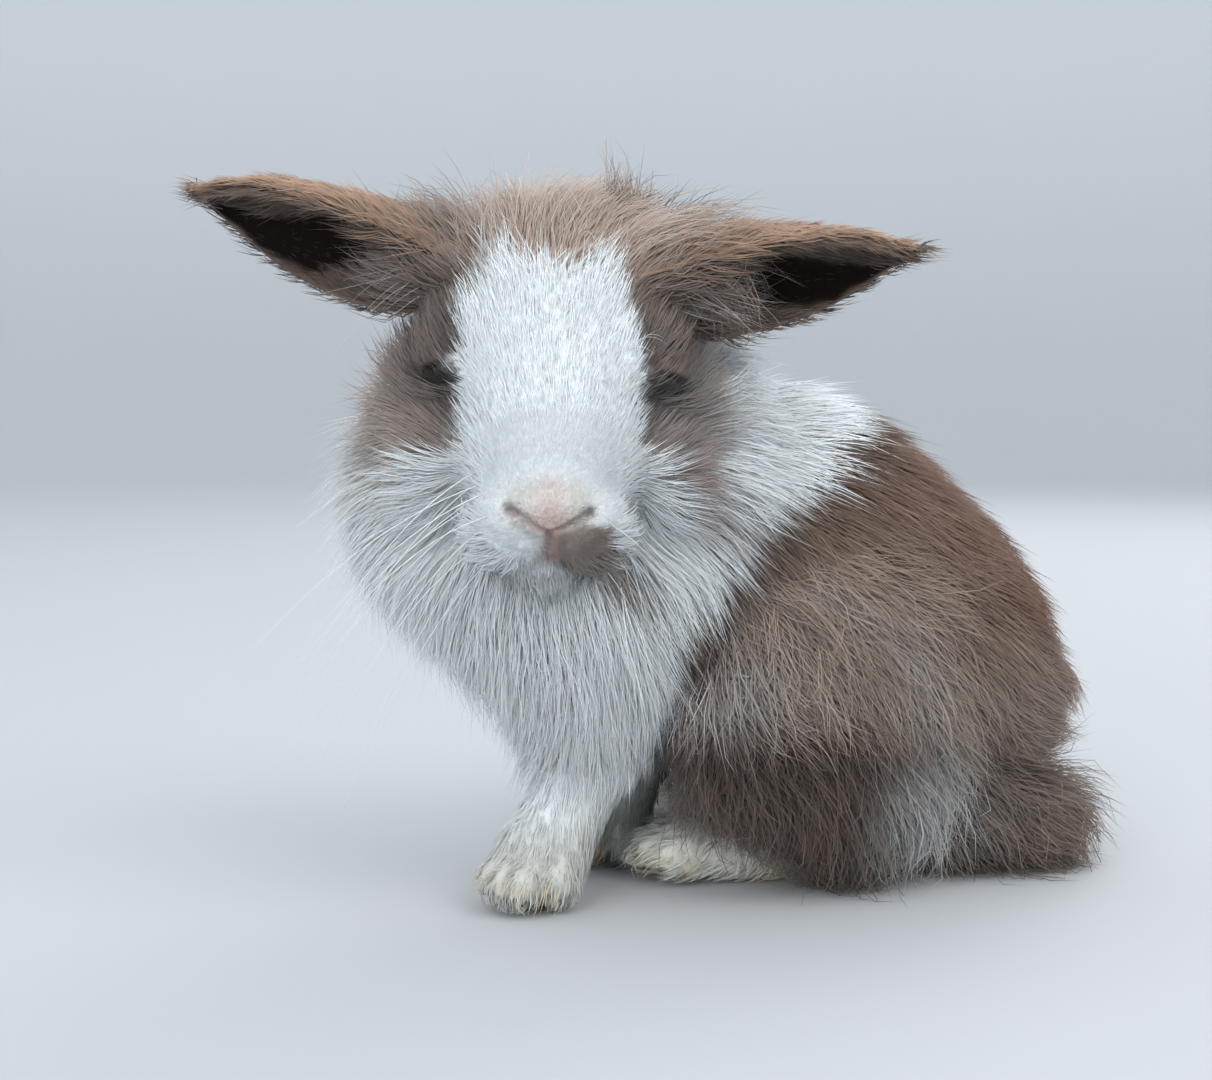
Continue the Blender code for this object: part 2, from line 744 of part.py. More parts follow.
def build():
    clear_scene()
    white = material("white_coat", WHITE_COAT, 0.9)
    brown = material("brown_coat", BROWN_COAT, 0.9)
    tan = material("tan_coat", TAN_COAT, 0.9)
    dark = material("eye", DARK_EYE, 0.08)
    coats = {"eye": dark, "ear": tan, "crown": tan, "thigh": brown, "torso": brown, "tail": brown}

    pieces = forms()
    cutters = grow_coats(pieces)
    names = list(pieces)
    nodes = []
    for place, name in enumerate(names):
        obj = pieces[name][0]
        if pieces[name][1:]:
            ground = tree_of(obj)
            boolean(obj, pieces[name][1:], "UNION")
        tools = [c for other in names[:place] for c in cutters[other] if boxes_near(obj, c)]
        tools = [copied(tool) for tool in tools]
        if name == "head":
            tools += [lid_slit(1), lid_slit(-1)] + face_grooves(ground)
        if min(v.co.z for v in obj.data.vertices) < FLOOR:
            tools.append(floor_block())
        if tools:
            boolean(obj, tools, "DIFFERENCE")
        largest_piece(obj)
        obj.name = name
        obj.data.materials.clear()
        obj.data.materials.append(coats.get(name.split("_")[0], white))
        obj.data.shade_smooth()
        obj.data.set_sharp_from_angle(angle=math.radians(40))
        nodes.append(obj)
    for tools in cutters.values():
        for tool in tools:
            bpy.data.objects.remove(tool)
    centre_on_floor(nodes)


def centre_on_floor(objects):
    """Moves every node so that the origin is on the floor, under the middle of the whole animal."""
    points = [v.co for obj in objects for v in obj.data.vertices]
    middle_x = (min(p.x for p in points) + max(p.x for p in points)) / 2
    middle_y = (min(p.y for p in points) + max(p.y for p in points)) / 2
    shift = Matrix.Translation((-middle_x, -middle_y, 0))
    for obj in objects:
        obj.data.transform(shift)


build()
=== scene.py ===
"""Still, life-size lionhead rabbit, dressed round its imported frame: skin, ears, eyes, coat and whiskers.

Every shape is worked out in one of two frames, as the frame's own pieces are: the head's, at the
midpoint of the eyes, and the body's, on the floor under the middle of the chest. The coat is mesh.
Each tuft is a few closed hairs that share a path over the skin, and takes its colour, length and
lie from the skin at its root.
"""

import math
from dataclasses import dataclass

import bmesh
import bpy
import numpy as np
from bpy.props import FloatProperty, FloatVectorProperty, IntProperty, PointerProperty
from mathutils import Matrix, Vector
from mathutils.bvhtree import BVHTree
from mathutils.kdtree import KDTree


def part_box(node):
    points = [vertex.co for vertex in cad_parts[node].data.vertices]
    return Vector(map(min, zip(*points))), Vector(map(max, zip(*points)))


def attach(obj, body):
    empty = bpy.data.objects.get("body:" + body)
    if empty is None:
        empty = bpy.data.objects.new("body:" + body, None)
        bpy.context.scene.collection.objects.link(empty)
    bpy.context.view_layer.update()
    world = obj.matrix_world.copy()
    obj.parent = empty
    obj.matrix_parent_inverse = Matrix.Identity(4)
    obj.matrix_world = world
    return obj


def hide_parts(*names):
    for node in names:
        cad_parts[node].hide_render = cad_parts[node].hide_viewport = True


bl_info = {
    "name": "Lionhead Rabbit",
    "version": (1, 0, 0),
    "blender": (4, 5, 0),
    "location": "3D View > Sidebar > Rabbit",
    "description": "Dresses a still lionhead rabbit: skin, ears, eyes, coat, whiskers and a plain stage",
    "category": "Add Mesh",
}

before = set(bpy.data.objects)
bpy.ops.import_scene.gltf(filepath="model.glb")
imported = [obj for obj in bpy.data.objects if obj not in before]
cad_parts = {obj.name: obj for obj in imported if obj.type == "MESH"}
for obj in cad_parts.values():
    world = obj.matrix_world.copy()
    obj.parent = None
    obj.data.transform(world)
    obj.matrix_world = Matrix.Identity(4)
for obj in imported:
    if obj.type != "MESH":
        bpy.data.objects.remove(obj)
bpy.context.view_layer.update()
MM = 0.001

# Head frame: the midpoint of the eyes, and how the head is held. Body frame: under the chest.
EYE_MIDPOINT = np.array((-10, -15, 106)) * MM
HEAD_PITCH = math.radians(42)
HEAD_ROLL = math.radians(3.8)
CHEST_FOOT = np.array((3, 16, 0)) * MM
BODY_TURN = math.radians(66)
UP = np.array((0.0, 0.0, 1.0))

# The camera, placed in the same frame as the two above
CAMERA_PLACE = np.array((0, -400, 105.6)) * MM
IMAGE_WIDTH = 1212
FOCAL_PIXELS = 2000
LOOK_DOWN_PIXELS = 163

EYE_RADIUS = 6.4
EYE_SPREAD = 17.6
CORNEA_BULGE = 0.3
EAR_HALF_WIDTH = 11.3
SIDES = (("left", 1), ("right", -1))
SEED = 7
UV_NAME = "OFBake"
TUFT_PATCH = 0.003
BODY = "root"

# Least heights in mm: of skin and hair over the floor, and of a tuft's path over the floor and the skin
FLOOR_GAP = 0.3
PATH_FLOOR_GAP = 0.4
PATH_SKIN_GAP = 0.35
# How far below the skin a hair's root lies, in mm
ROOT_SINK = 0.5
# Draws that lead a hair astray are cut off at this many times their spread
DRAW_LIMIT = 2.2
COLOUR_FROM_TIP = 0.28


def head_axes():
    """Forward along the nose, to the animal's left, and up over the crown, as rows."""
    forward = np.array((0, -math.cos(HEAD_PITCH), -math.sin(HEAD_PITCH)))
    level_left = np.array((1.0, 0, 0))
    level_up = np.array((0, -math.sin(HEAD_PITCH), math.cos(HEAD_PITCH)))
    left = level_left * math.cos(HEAD_ROLL) - level_up * math.sin(HEAD_ROLL)
    up = level_up * math.cos(HEAD_ROLL) + level_left * math.sin(HEAD_ROLL)
    return np.array((forward, left, up))


def eye_middle():
    """The midpoint of the two packed eyes."""
    corners = [np.array(corner) for name in ("eye_left", "eye_right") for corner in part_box(name)]
    return sum(corners) / len(corners)


HEAD_AXES = head_axes()
BODY_AXES = np.array(
    (
        (math.sin(BODY_TURN), math.cos(BODY_TURN), 0),
        (math.cos(BODY_TURN), -math.sin(BODY_TURN), 0),
        (0, 0, 1),
    )
)
BACKWARD, LEFTWARD = BODY_AXES[0], BODY_AXES[1]
HEAD_ORIGIN = eye_middle()
SHIFT = HEAD_ORIGIN - EYE_MIDPOINT
BODY_ORIGIN = CHEST_FOOT + SHIFT


def head_point(forward, left, up):
    """A point given in millimetres in the head frame."""
    return HEAD_ORIGIN + np.array((forward, left, up)) @ HEAD_AXES * MM


def body_point(back, left, height):
    """A point given in millimetres behind the chest, to the animal's left and above the floor."""
    return BODY_ORIGIN + np.array((back, left, height)) @ BODY_AXES * MM


def placed(x, y, z):
    """A point given in millimetres in the frame in which the animal was first drawn."""
    return SHIFT + np.array((x, y, z)) * MM


def in_head(points):
    """Points as millimetres forward, left and up in the head frame, one column each."""
    return ((points - HEAD_ORIGIN) @ HEAD_AXES.T / MM).T


def in_body(points):
    """Points as millimetres back, left and up in the body frame, one column each."""
    return ((points - BODY_ORIGIN) @ BODY_AXES.T / MM).T


def unit(vectors):
    return vectors / np.maximum(np.linalg.norm(vectors, axis=-1, keepdims=True), 1e-12)


def dot(a, b):
    return np.sum(a * b, axis=-1, keepdims=True)


def square_to(vectors, normals):
    """The same directions, laid square to the normals."""
    return unit(vectors - normals * dot(vectors, normals))


def ease(low, high, values):
    """A smooth step from 0 at 'low' to 1 at 'high'."""
    t = np.clip((values - low) / (high - low), 0, 1)
    return t * t * (3 - 2 * t)


def bell(values, width):
    """A bump: exp(-(values / width)^2)."""
    return np.exp(-((values / width) ** 2))


def spot(x, y, width, height, power=2):
    """An oval patch: exp(-((x / width)^2 + (y / height)^2)^power)."""
    return np.exp(-(((x / width) ** 2 + (y / height) ** 2) ** power))


def read_off(table, where):
    """Values at some places, from rows of place and value."""
    return np.interp(where, *zip(*table))


def circle(count):
    """Even angles round a ring."""
    return np.linspace(0, 2 * math.pi, count, endpoint=False)[None, :, None]


def ripple(points, scale, seed):
    """Smooth noise of about -1 to 1: sine waves in random directions, about 'scale' mm long."""
    draw = np.random.default_rng(seed)
    total = 0
    for _ in range(9):
        along = unit(draw.normal(size=3)) * (2 * math.pi / (scale * MM * draw.uniform(0.6, 1.5)))
        total = total + np.sin(points @ along + draw.uniform(0, 2 * math.pi))
    return total / 4


def srgb(red, green, blue):
    """A colour read as 0 to 255 on a screen, as linear values."""
    c = np.array((red, green, blue)) / 255
    return np.where(c <= 0.04045, c / 12.92, ((c + 0.055) / 1.055) ** 2.4)


# Colours of the coat, and of the painted shade laid on it
WHITE = srgb(236, 241, 243)
CHOCOLATE = srgb(118, 91, 76)
DARK_BROWN = srgb(88, 70, 60)
TAUPE = srgb(158, 141, 130)
UMBER = srgb(110, 95, 86)
TAN = srgb(184, 164, 151)
TEMPLE = srgb(126, 112, 104)
MAUVE = srgb(152, 128, 119)
RUSSET = srgb(172, 141, 119)
# Near-black painted shade inside the ear's cup
EAR_CUP_SHADE = srgb(22, 12, 10)
WOOL_GREY = srgb(178, 177, 175)
CREAM = srgb(242, 241, 231)
STAIN = srgb(226, 194, 130)
NOSE_CREAM = srgb(214, 203, 188)
NOSE_PINK = srgb(206, 170, 166)
# Pink-brown skin darkened by painted shade, for the slits of the nostrils and the cleft
SLIT_SHADE_PINK = srgb(116, 70, 66)
# Near-black painted shade: round the slits of the lids, beside the blaze by the eyes and under the upper lip
PAINTED_SHADE_DARK = srgb(26, 20, 18)


def triangulated(quads):
    return np.concatenate([quads[:, [0, 1, 2]], quads[:, [0, 2, 3]]])


def ring_sides(count, around, first=0):
    """The faces between neighbouring rings of points, as four corners each."""
    i = np.arange(around)
    j = (i + 1) % around
    low = first + np.arange(count - 1)[:, None] * around
    return np.stack([low + i, low + j, low + around + j, low + around + i], axis=-1).reshape(-1, 4)


def closed_rings(rings, first, last):
    """A closed form: neighbouring rings are joined, and each end ring closes on a single point."""
    count, around = rings.shape[:2]
    points = np.concatenate([[first], rings.reshape(-1, 3), [last]])
    i = np.arange(around)
    j = (i + 1) % around
    end = len(points) - 1
    start_cap = np.stack([0 * i, 1 + j, 1 + i], axis=-1)
    end_cap = np.stack([0 * i + end, end - around + i, end - around + j], axis=-1)
    sides = triangulated(ring_sides(count, around, 1))
    return outward(points, np.concatenate([sides, start_cap, end_cap]))


def outward(points, triangles):
    """The same closed form with its faces turned out, judged by its volume."""
    a, b, c = (points[triangles[:, k]] for k in range(3))
    volume = np.sum(a * np.cross(b, c))
    return points, triangles if volume > 0 else triangles[:, ::-1]


def ovoid(centre, radii, axes, rows=22, columns=32):
    """An egg: point = centre + r0 cos(p) axis0 + sin(p) (r1 cos(a) axis1 + r2 sin(a) axis2)."""
    turn = math.pi * np.arange(1, rows + 1)[:, None, None] / (rows + 1)
    angle = circle(columns)
    r = np.array(radii) * MM
    ring = r[1] * np.cos(angle) * axes[1] + r[2] * np.sin(angle) * axes[2]
    rings = centre - r[0] * np.cos(turn) * axes[0] + np.sin(turn) * ring
    return closed_rings(rings, centre - axes[0] * r[0], centre + axes[0] * r[0])


def spline(stations, count):
    """Rows at even steps along a smooth cubic through the stations, and the path's tangents."""
    rows = np.array(stations, float)
    steps = np.linalg.norm(np.diff(rows[:, :3], axis=0), axis=1)
    at = np.concatenate([[0], np.cumsum(steps)])
    slopes = np.gradient(rows, at, axis=0)
    where = np.linspace(0, at[-1], count)
    left = np.clip(np.searchsorted(at, where, side="right") - 1, 0, len(at) - 2)
    width = (at[left + 1] - at[left])[:, None]
    t = (where - at[left])[:, None] / width
    a, b, sa, sb = rows[left], rows[left + 1], slopes[left] * width, slopes[left + 1] * width
    values = (
        (2 * t**3 - 3 * t**2 + 1) * a
        + (t**3 - 2 * t**2 + t) * sa
        + (3 * t**2 - 2 * t**3) * b
        + (t**3 - t**2) * sb
    )
    return values, unit(np.gradient(values[:, :3], axis=0))


def tube(stations, inset, across=None, start_cap=0.8, end_cap=0.8, count=26, around=32):
    """Oval rings square to a smooth path, with rounded ends.

    A station is a centre, half width and half height in mm, less the inset. A cap at turn q stands
    out by sin(q) and has cos(q) of the end ring's size.
    """
    rows = [(*centre, (wide - inset) * MM, (high - inset) * MM) for centre, wide, high in stations]
    values, tangents = spline(rows, count)
    turn = np.radians(np.arange(10, 90, 10))[::-1]

    def cap(row, tangent, length):
        reach = length * row[3:].mean()
        centres = row[:3] + tangent * (reach * np.sin(turn))[:, None]
        return np.concatenate([centres, row[3:] * np.cos(turn)[:, None]], axis=1), row[:3] + reach * tangent

    head, first = cap(values[0], tangents[0], -start_cap)
    tail, last = cap(values[-1], tangents[-1], end_cap)
    rows = np.concatenate([head, values, tail[::-1]])
    along = tangents[np.clip(np.arange(len(rows)) - len(head), 0, count - 1)]
    side = np.cross(along, UP) if across is None else np.tile(across, (len(along), 1))
    side = square_to(side, along)
    rise = np.cross(side, along)
    angle = circle(around)
    wide, high = rows[:, 3, None, None], rows[:, 4, None, None]
    ring = wide * np.cos(angle) * side[:, None] + high * np.sin(angle) * rise[:, None]
    return closed_rings(rows[:, None, :3] + ring, first, last)


def joined(forms):
    """Several forms as one set of points and triangles."""
    starts = np.cumsum([0] + [len(points) for points, _ in forms[:-1]])
    points = np.concatenate([points for points, _ in forms])
    return points, np.concatenate([faces + start for (_, faces), start in zip(forms, starts)])


def new_object(name, data):
    obj = bpy.data.objects.new(name, data)
    bpy.context.scene.collection.objects.link(obj)
    return obj


def mesh_object(name, points, triangles):
    """A new smooth mesh object at the origin, filled from whole arrays."""
    mesh = bpy.data.meshes.new(name)
    mesh.vertices.add(len(points))
    mesh.vertices.foreach_set("co", points.astype(np.float32).ravel())
    mesh.loops.add(triangles.size)
    mesh.loops.foreach_set("vertex_index", triangles.astype(np.int32).ravel())
    mesh.polygons.add(len(triangles))
    mesh.polygons.foreach_set("loop_start", np.arange(0, triangles.size, 3, dtype=np.int32))
    mesh.update(calc_edges=True)
    mesh.shade_smooth()
    return new_object(name, mesh)


def coordinates(mesh, normals=False):
    source = mesh.vertex_normals if normals else mesh.vertices
    values = np.empty(len(mesh.vertices) * 3, np.float32)
    source.foreach_get("vector" if normals else "co", values)
    return values.reshape(-1, 3).astype(float)


def corner_triangles(mesh):
    """The mesh's triangles, once as points and once as loops."""
    mesh.calc_loop_triangles()
    found = []
    for name in ("vertices", "loops"):
        numbers = np.empty(len(mesh.loop_triangles) * 3, np.int32)
        mesh.loop_triangles.foreach_get(name, numbers)
        found.append(numbers.reshape(-1, 3))
    return found


def nearest(tree, points):
    """The nearest places on a surface, its normals there and the distances."""
    places, normals, _, distances = zip(*[tree.find_nearest(point) for point in points])
    return np.array(places), np.array(normals), np.array(distances)


def tree_of(points, triangles):
    return BVHTree.FromPolygons(points.tolist(), triangles.tolist())


# What the skin is made of, by the kind of coat that it carries. Each form lies inside the frame's
# solid by the coat's depth there, or by its core's where the frame has locks.
HIND_FEET = {"left": ((62, 24, 8.5), (16, 15, 6.6)), "right": ((66, 74, 8.5), (18, 61, 6.6))}
FORELEGS = {
    "left": ((3, 9, 44), (-9, -1, 17), (-14.5, -7, 6.2), (-0.4, -0.92, 0)),
    "right": ((11, 38, 44), (3, 34, 17), (-1, 31, 6.2), (-0.5, -0.87, 0)),
}
THIGHS = {"left": (38, 22), "right": (48, -22)}
EARS = {
    "left": (placed(5, -8, 124), placed(60, -4, 130)),
    "right": (placed(-26, -8, 126), placed(-80, -4, 142)),
}
EAR_OPENING = np.array((0, -0.75, -0.66))
ACROSS = np.array((1.0, 0, 0))
LID_DEPTH = 1.0
# Toes: their places side by side, how far the outer two are set back, then for a forepaw and a hind
# foot how far ahead they stand, their spacing and their radii
TOE_PLACES = (-1.5, -0.5, 0.5, 1.5)
OUTER_TOES_BACK = 0.9
FORE_TOES = (6.5, 4.9, (5.2, 2.7, 3.9))
HIND_TOES = (4.5, 4.2, (6.2, 2.9, 4.4))


def face_forms():
    """Cranium, tapering face, nose, chin, whisker pads, deep cheeks, brows and the balls of the lids."""
    face = [
        (head_point(-8, 0, -5), 23, 20),
        (head_point(6, 0, -6), 20, 19),
        (head_point(18, 0, -8), 17, 18),
        (head_point(27, 0, -9.5), 14, 15.5),
        (head_point(32.5, 0, -9.5), 11, 12),
    ]
    made = [
        ovoid(head_point(-14, 0, 1), (20, 23, 15), HEAD_AXES),
        tube(face, 2.0, HEAD_AXES[1], end_cap=0.35),
        ovoid(head_point(33.6, 0, -2.7), (4.2, 6.6, 4.0), HEAD_AXES),
        ovoid(head_point(27, 0, -19.2), (6.8, 7.4, 5.6), HEAD_AXES),
    ]
    paired = (
        ((30.6, 6.6, -9.8), (7.2, 7.4, 7.6)),
        ((-3, 16, -13), (17, 13.5, 15)),
        ((11, 18, -13), (9, 8.5, 10.5)),
        ((-3, 15.5, 4), (8.6, 6.8, 6.8)),
        ((0, EYE_SPREAD, 0), [EYE_RADIUS + LID_DEPTH] * 3),
    )
    for _, way in SIDES:
        for (forward, left, up), radii in paired:
            made.append(ovoid(head_point(forward, way * left, up), radii, HEAD_AXES))
    return made


def toe_forms(paw, heading, ahead, spread, radii):
    """Four toes side by side at the front of a paw, the outer two set back."""
    centre = paw + heading * ahead * MM
    heading = unit(heading)
    side = np.array((-heading[1], heading[0], 0))
    made = []
    for place in TOE_PLACES:
        back = OUTER_TOES_BACK * (abs(place) - 0.5)
        at = centre + (side * place - heading * back) * spread * MM
        made.append(ovoid(at, radii, (heading, side, UP), 12, 16))
    return made


def foreleg_forms(elbow, wrist, paw, heading):
    """A foreleg from the elbow to the paw, with its toes."""
    elbow, wrist, paw, heading = (np.array(p, float) for p in (elbow, wrist, paw, heading))
    leg = [
        (placed(*elbow), 12, 12),
        (placed(*(elbow * 0.45 + wrist * 0.55)), 11, 11),
        (placed(*wrist), 9.5, 9.5),
        (placed(*(wrist * 0.4 + paw * 0.6)), 10.5, 8.5),
        (placed(*paw), 10.5, 6.8),
    ]
    return [tube(leg, 1.5, ACROSS)] + toe_forms(placed(*paw), heading, *FORE_TOES)


def foot_forms(heel, toes):
    """A hind foot from its heel to its toes."""
    heel, toes = np.array(heel, float), np.array(toes, float)
    foot = [
        (placed(*heel), 8, 9.5),
        (placed(*(heel * 0.65 + toes * 0.35)), 8.5, 9),
        (placed(*(heel * 0.25 + toes * 0.75)), 10, 8.2),
        (placed(*toes), 9.5, 7.2),
    ]
    heading = unit((toes - heel) * (1, 1, 0))
    return [tube(foot, 1.5)] + toe_forms(placed(*toes), heading, *HIND_TOES)


def body_forms():
    """Trunk, chest, crown, tail, thighs and the roots of the ears, by the kind of coat they carry."""
    trunk = [
        (body_point(-10, 2, 58), 24, 27),
        (body_point(10, 0, 64), 30, 38),
        (body_point(34, 0, 63), 35, 43),
        (body_point(54, 2, 55), 36, 38),
        (body_point(72, 6, 44), 34, 31),
        (body_point(84, 9, 34), 28, 23),
    ]
    bib = [
        (placed(-9, 16, 108), 29, 25),
        (placed(-6, 14, 96), 37, 31),
        (placed(-8.5, 8, 80), 43.5, 32),
        (placed(-6.5, 5, 65), 36.5, 29),
        (placed(-4.5, 4, 50), 25.5, 23),
        (placed(-4.5, 4, 38), 17.5, 17),
    ]
    made = {
        "back": [tube(trunk, 4.5, LEFTWARD, start_cap=0.7, end_cap=0.5)],
        "mane": [tube(bib, 5.0, ACROSS, start_cap=0.4, end_cap=0.5)],
        "crown": [ovoid(head_point(-24, 0, 1.5), (15, 23, 14.5), HEAD_AXES)],
        "tail": [ovoid(body_point(85, 22, 10.5), (12, 8.5, 7.5), BODY_AXES)],
    }
    for side, (back, left) in THIGHS.items():
        made["thigh_" + side] = [
            ovoid(body_point(back, left, 40), (32, 17, 35), BODY_AXES),
            ovoid(body_point(back + 30, left * 0.95, 15), (10, 9, 10), BODY_AXES),
        ]
    for root, tip in EARS.values():
        along = unit(tip - root)
        side = unit(np.cross(along, UP))
        axes = (along, side, np.cross(side, along))
        made["crown"].append(ovoid(root + along * 1.5 * MM, (11, 6.5, 7.5), axes))
    return made


def skin_forms():
    made = {"face": face_forms(), **body_forms()}
    made["foreleg"] = [form for leg in FORELEGS.values() for form in foreleg_forms(*leg)]
    made["foot"] = [form for foot in HIND_FEET.values() for form in foot_forms(*foot)]
    return made


# Lids: the slit's size, and its middle and its run on the eye in the head frame, for the left eye
SLIT_HALF_LENGTH = 4.8
SLIT_HALF_OPENING = 0.85
SLIT_MIDDLE = (0.59, 0.68, 0.44)
SLIT_RUN = (-0.42, 0.74, -0.52)
FAR_FROM_SLIT = 9.0
# How far past the eyeball the lids reach, how far inside it the open slit lies, and the lids' rim
LID_REACH = 4.0
SLIT_SINK = 1.4
RIM_HEIGHT = 0.45


def eye_frame(way):
    """The eye's centre, and the axes along its slit, across it and out of the socket."""
    mirror = np.array((1, way, 1))
    out = unit((np.array(SLIT_MIDDLE) * mirror) @ HEAD_AXES)
    along = square_to((np.array(SLIT_RUN) * mirror) @ HEAD_AXES, out)
    return head_point(0, way * EYE_SPREAD, 0), along, np.cross(out, along), out


def slit_depth(points, side):
    """How far points are outside the slit between the lids, in mm, less than zero in it.

    The slit is a lens: its half opening is largest in the middle and falls off as 1 - (x / length)^2.
    Past its ends the distance is to the end.
    """
    centre, along, across, out = eye_frame(side)
    away = (points - centre) / MM
    x, y, z = away @ along, away @ across, away @ out
    opening = SLIT_HALF_OPENING * np.clip(1 - (x / SLIT_HALF_LENGTH) ** 2, 0, 1)
    beyond = np.maximum(np.abs(x) - SLIT_HALF_LENGTH, 0)
    depth = np.where(beyond > 0, np.hypot(beyond, y), np.abs(y) - opening)
    near = (z > 0) & (np.linalg.norm(away, axis=1) < EYE_RADIUS + LID_REACH + 1)
    return np.where(near, depth, FAR_FROM_SLIT)


def nearer_slit(points):
    """How far points are outside the slit of the nearer eye, in mm."""
    return np.minimum(slit_depth(points, 1), slit_depth(points, -1))


def line_distance(points, line):
    """The distance in mm from points to a line through stations given in the head frame."""
    stations = np.array([head_point(*station) for station in line])
    best = np.full(len(points), 1e9)
    for start, end in zip(stations[:-1], stations[1:]):
        way = end - start
        t = np.clip((points - start) @ way / (way @ way), 0, 1)
        best = np.minimum(best, np.linalg.norm(points - start - t[:, None] * way, axis=1))
    return best / MM


PHILTRUM = [(36.6, 0, -5.2), (36.3, 0, -9.1), (36.6, 0, -11.1), (36.8, 0, -13.6)]
NOSTRIL = [(37.4, 0, -5.3), (37.5, 2.1, -3.9), (36.9, 4.2, -2.7), (35.3, 6.1, -2.35), (33.6, 7.5, -2.9)]
MOUTH = [(37, 0, -14.1), (37, 3.2, -15.4), (35.2, 5, -19.2), (31.5, 8.2, -22.5), (25, 13, -23)]


def mirrored(line):
    return [(forward, -left, up) for forward, left, up in line]


def either_side(points, line):
    """The distance in mm to a line or to its mirror image, whichever is nearer."""
    return np.minimum(line_distance(points, line), line_distance(points, mirrored(line)))


# Lines sunk into the skin, with their depths and widths in mm
GROOVES = (
    (NOSTRIL, 1.5, 0.65),
    (mirrored(NOSTRIL), 1.5, 0.65),
    (PHILTRUM, 1.0, 0.7),
    (MOUTH, 2.0, 1.1),
    (mirrored(MOUTH), 2.0, 1.1),
)


def refined(mesh, near, cuts):
    """Splits the faces near the given (centre, radius) places into finer ones."""
    work = bmesh.new()
    work.from_mesh(mesh)
    chosen = []
    for face in work.faces:
        middle = face.calc_center_median()
        if any((middle - centre).length < radius for centre, radius in near):
            chosen.append(face)
    edges = list({edge for face in chosen for edge in face.edges})
    bmesh.ops.subdivide_edges(work, edges=edges, cuts=cuts, use_grid_fill=True, smooth=0.0)
    work.to_mesh(mesh)
    work.free()


def evaluated_mesh(obj):
    graph = bpy.context.evaluated_depsgraph_get()
    mesh = bpy.data.meshes.new_from_object(obj.evaluated_get(graph))
    obj.modifiers.clear()
    old, obj.data = obj.data, mesh
    bpy.data.meshes.remove(old)
    return mesh


def sculpt_face(points, normals):
    """Sinks the nostrils, cleft and mouth, opens the lids and rolls their rims.

    A line sinks the skin by depth * exp(-(distance / width)^2) along its normal. Skin in the slit
    goes to just inside the eyeball, and a low rim stands round it.
    """
    move = np.zeros(len(points))
    for line, depth, width in GROOVES:
        move -= depth * bell(line_distance(points, line), width)
    points = points + normals * move[:, None] * MM
    for _, way in SIDES:
        centre = eye_frame(way)[0]
        away = points - centre
        reach = np.linalg.norm(away, axis=1) / MM
        outside = slit_depth(points, way)
        near = reach < EYE_RADIUS + LID_REACH
        rim = RIM_HEIGHT * bell(outside - 0.7, 0.6) * near
        open_part = (1 - ease(-0.15, 0.3, outside)) * near
        target = (reach + rim) * (1 - open_part) + (EYE_RADIUS - SLIT_SINK) * open_part
        points = centre + away * (target / reach)[:, None]
    return points


KINDS = ("face", "crown", "mane", "back", "thigh_left", "thigh_right", "foreleg", "foot", "tail")


@dataclass
class Coat:
    """How the hair of one part grows: length and width in mm, the rest as shares, density relative."""

    length: float
    width: float
    root_stand: float
    tip_stand: float
    density: float
    frizz: float
    clump: float


COATS = {
    "face": Coat(6.5, 0.16, 0.32, 0.14, 3.4, 0.06, 0.2),
    "crown": Coat(14.5, 0.16, 0.66, 0.46, 2.4, 0.16, 0.75),
    "mane": Coat(17.0, 0.165, 0.42, 0.19, 1.8, 0.095, 0.42),
    "back": Coat(15.0, 0.20, 0.28, 0.09, 1.6, 0.07, 0.5),
    "thigh_left": Coat(12.5, 0.17, 0.52, 0.27, 2.0, 0.21, 0.62),
    "thigh_right": Coat(12.0, 0.17, 0.46, 0.22, 1.4, 0.15, 0.62),
    "foreleg": Coat(5.5, 0.17, 0.24, 0.08, 2.8, 0.05, 0.1),
    "foot": Coat(6.5, 0.16, 0.34, 0.12, 3.0, 0.04, 0.05),
    "tail": Coat(10.0, 0.18, 0.44, 0.20, 2.6, 0.14, 0.5),
}


def shares_of_kinds(points, forms):
    """How much of each kind of coat a point has: exp(-distance / 3 mm) to its forms, shared out."""
    reach = []
    for kind in KINDS:
        shape, faces = joined(forms[kind])
        reach.append(nearest(tree_of(shape, faces), points)[2] / MM)
    reach = np.array(reach).T
    shares = np.exp(-(reach - reach.min(axis=1, keepdims=True)) / 3.0)
    return shares / shares.sum(axis=1, keepdims=True)


def share(shares, *kinds):
    return sum(shares[:, KINDS.index(kind)] for kind in kinds)


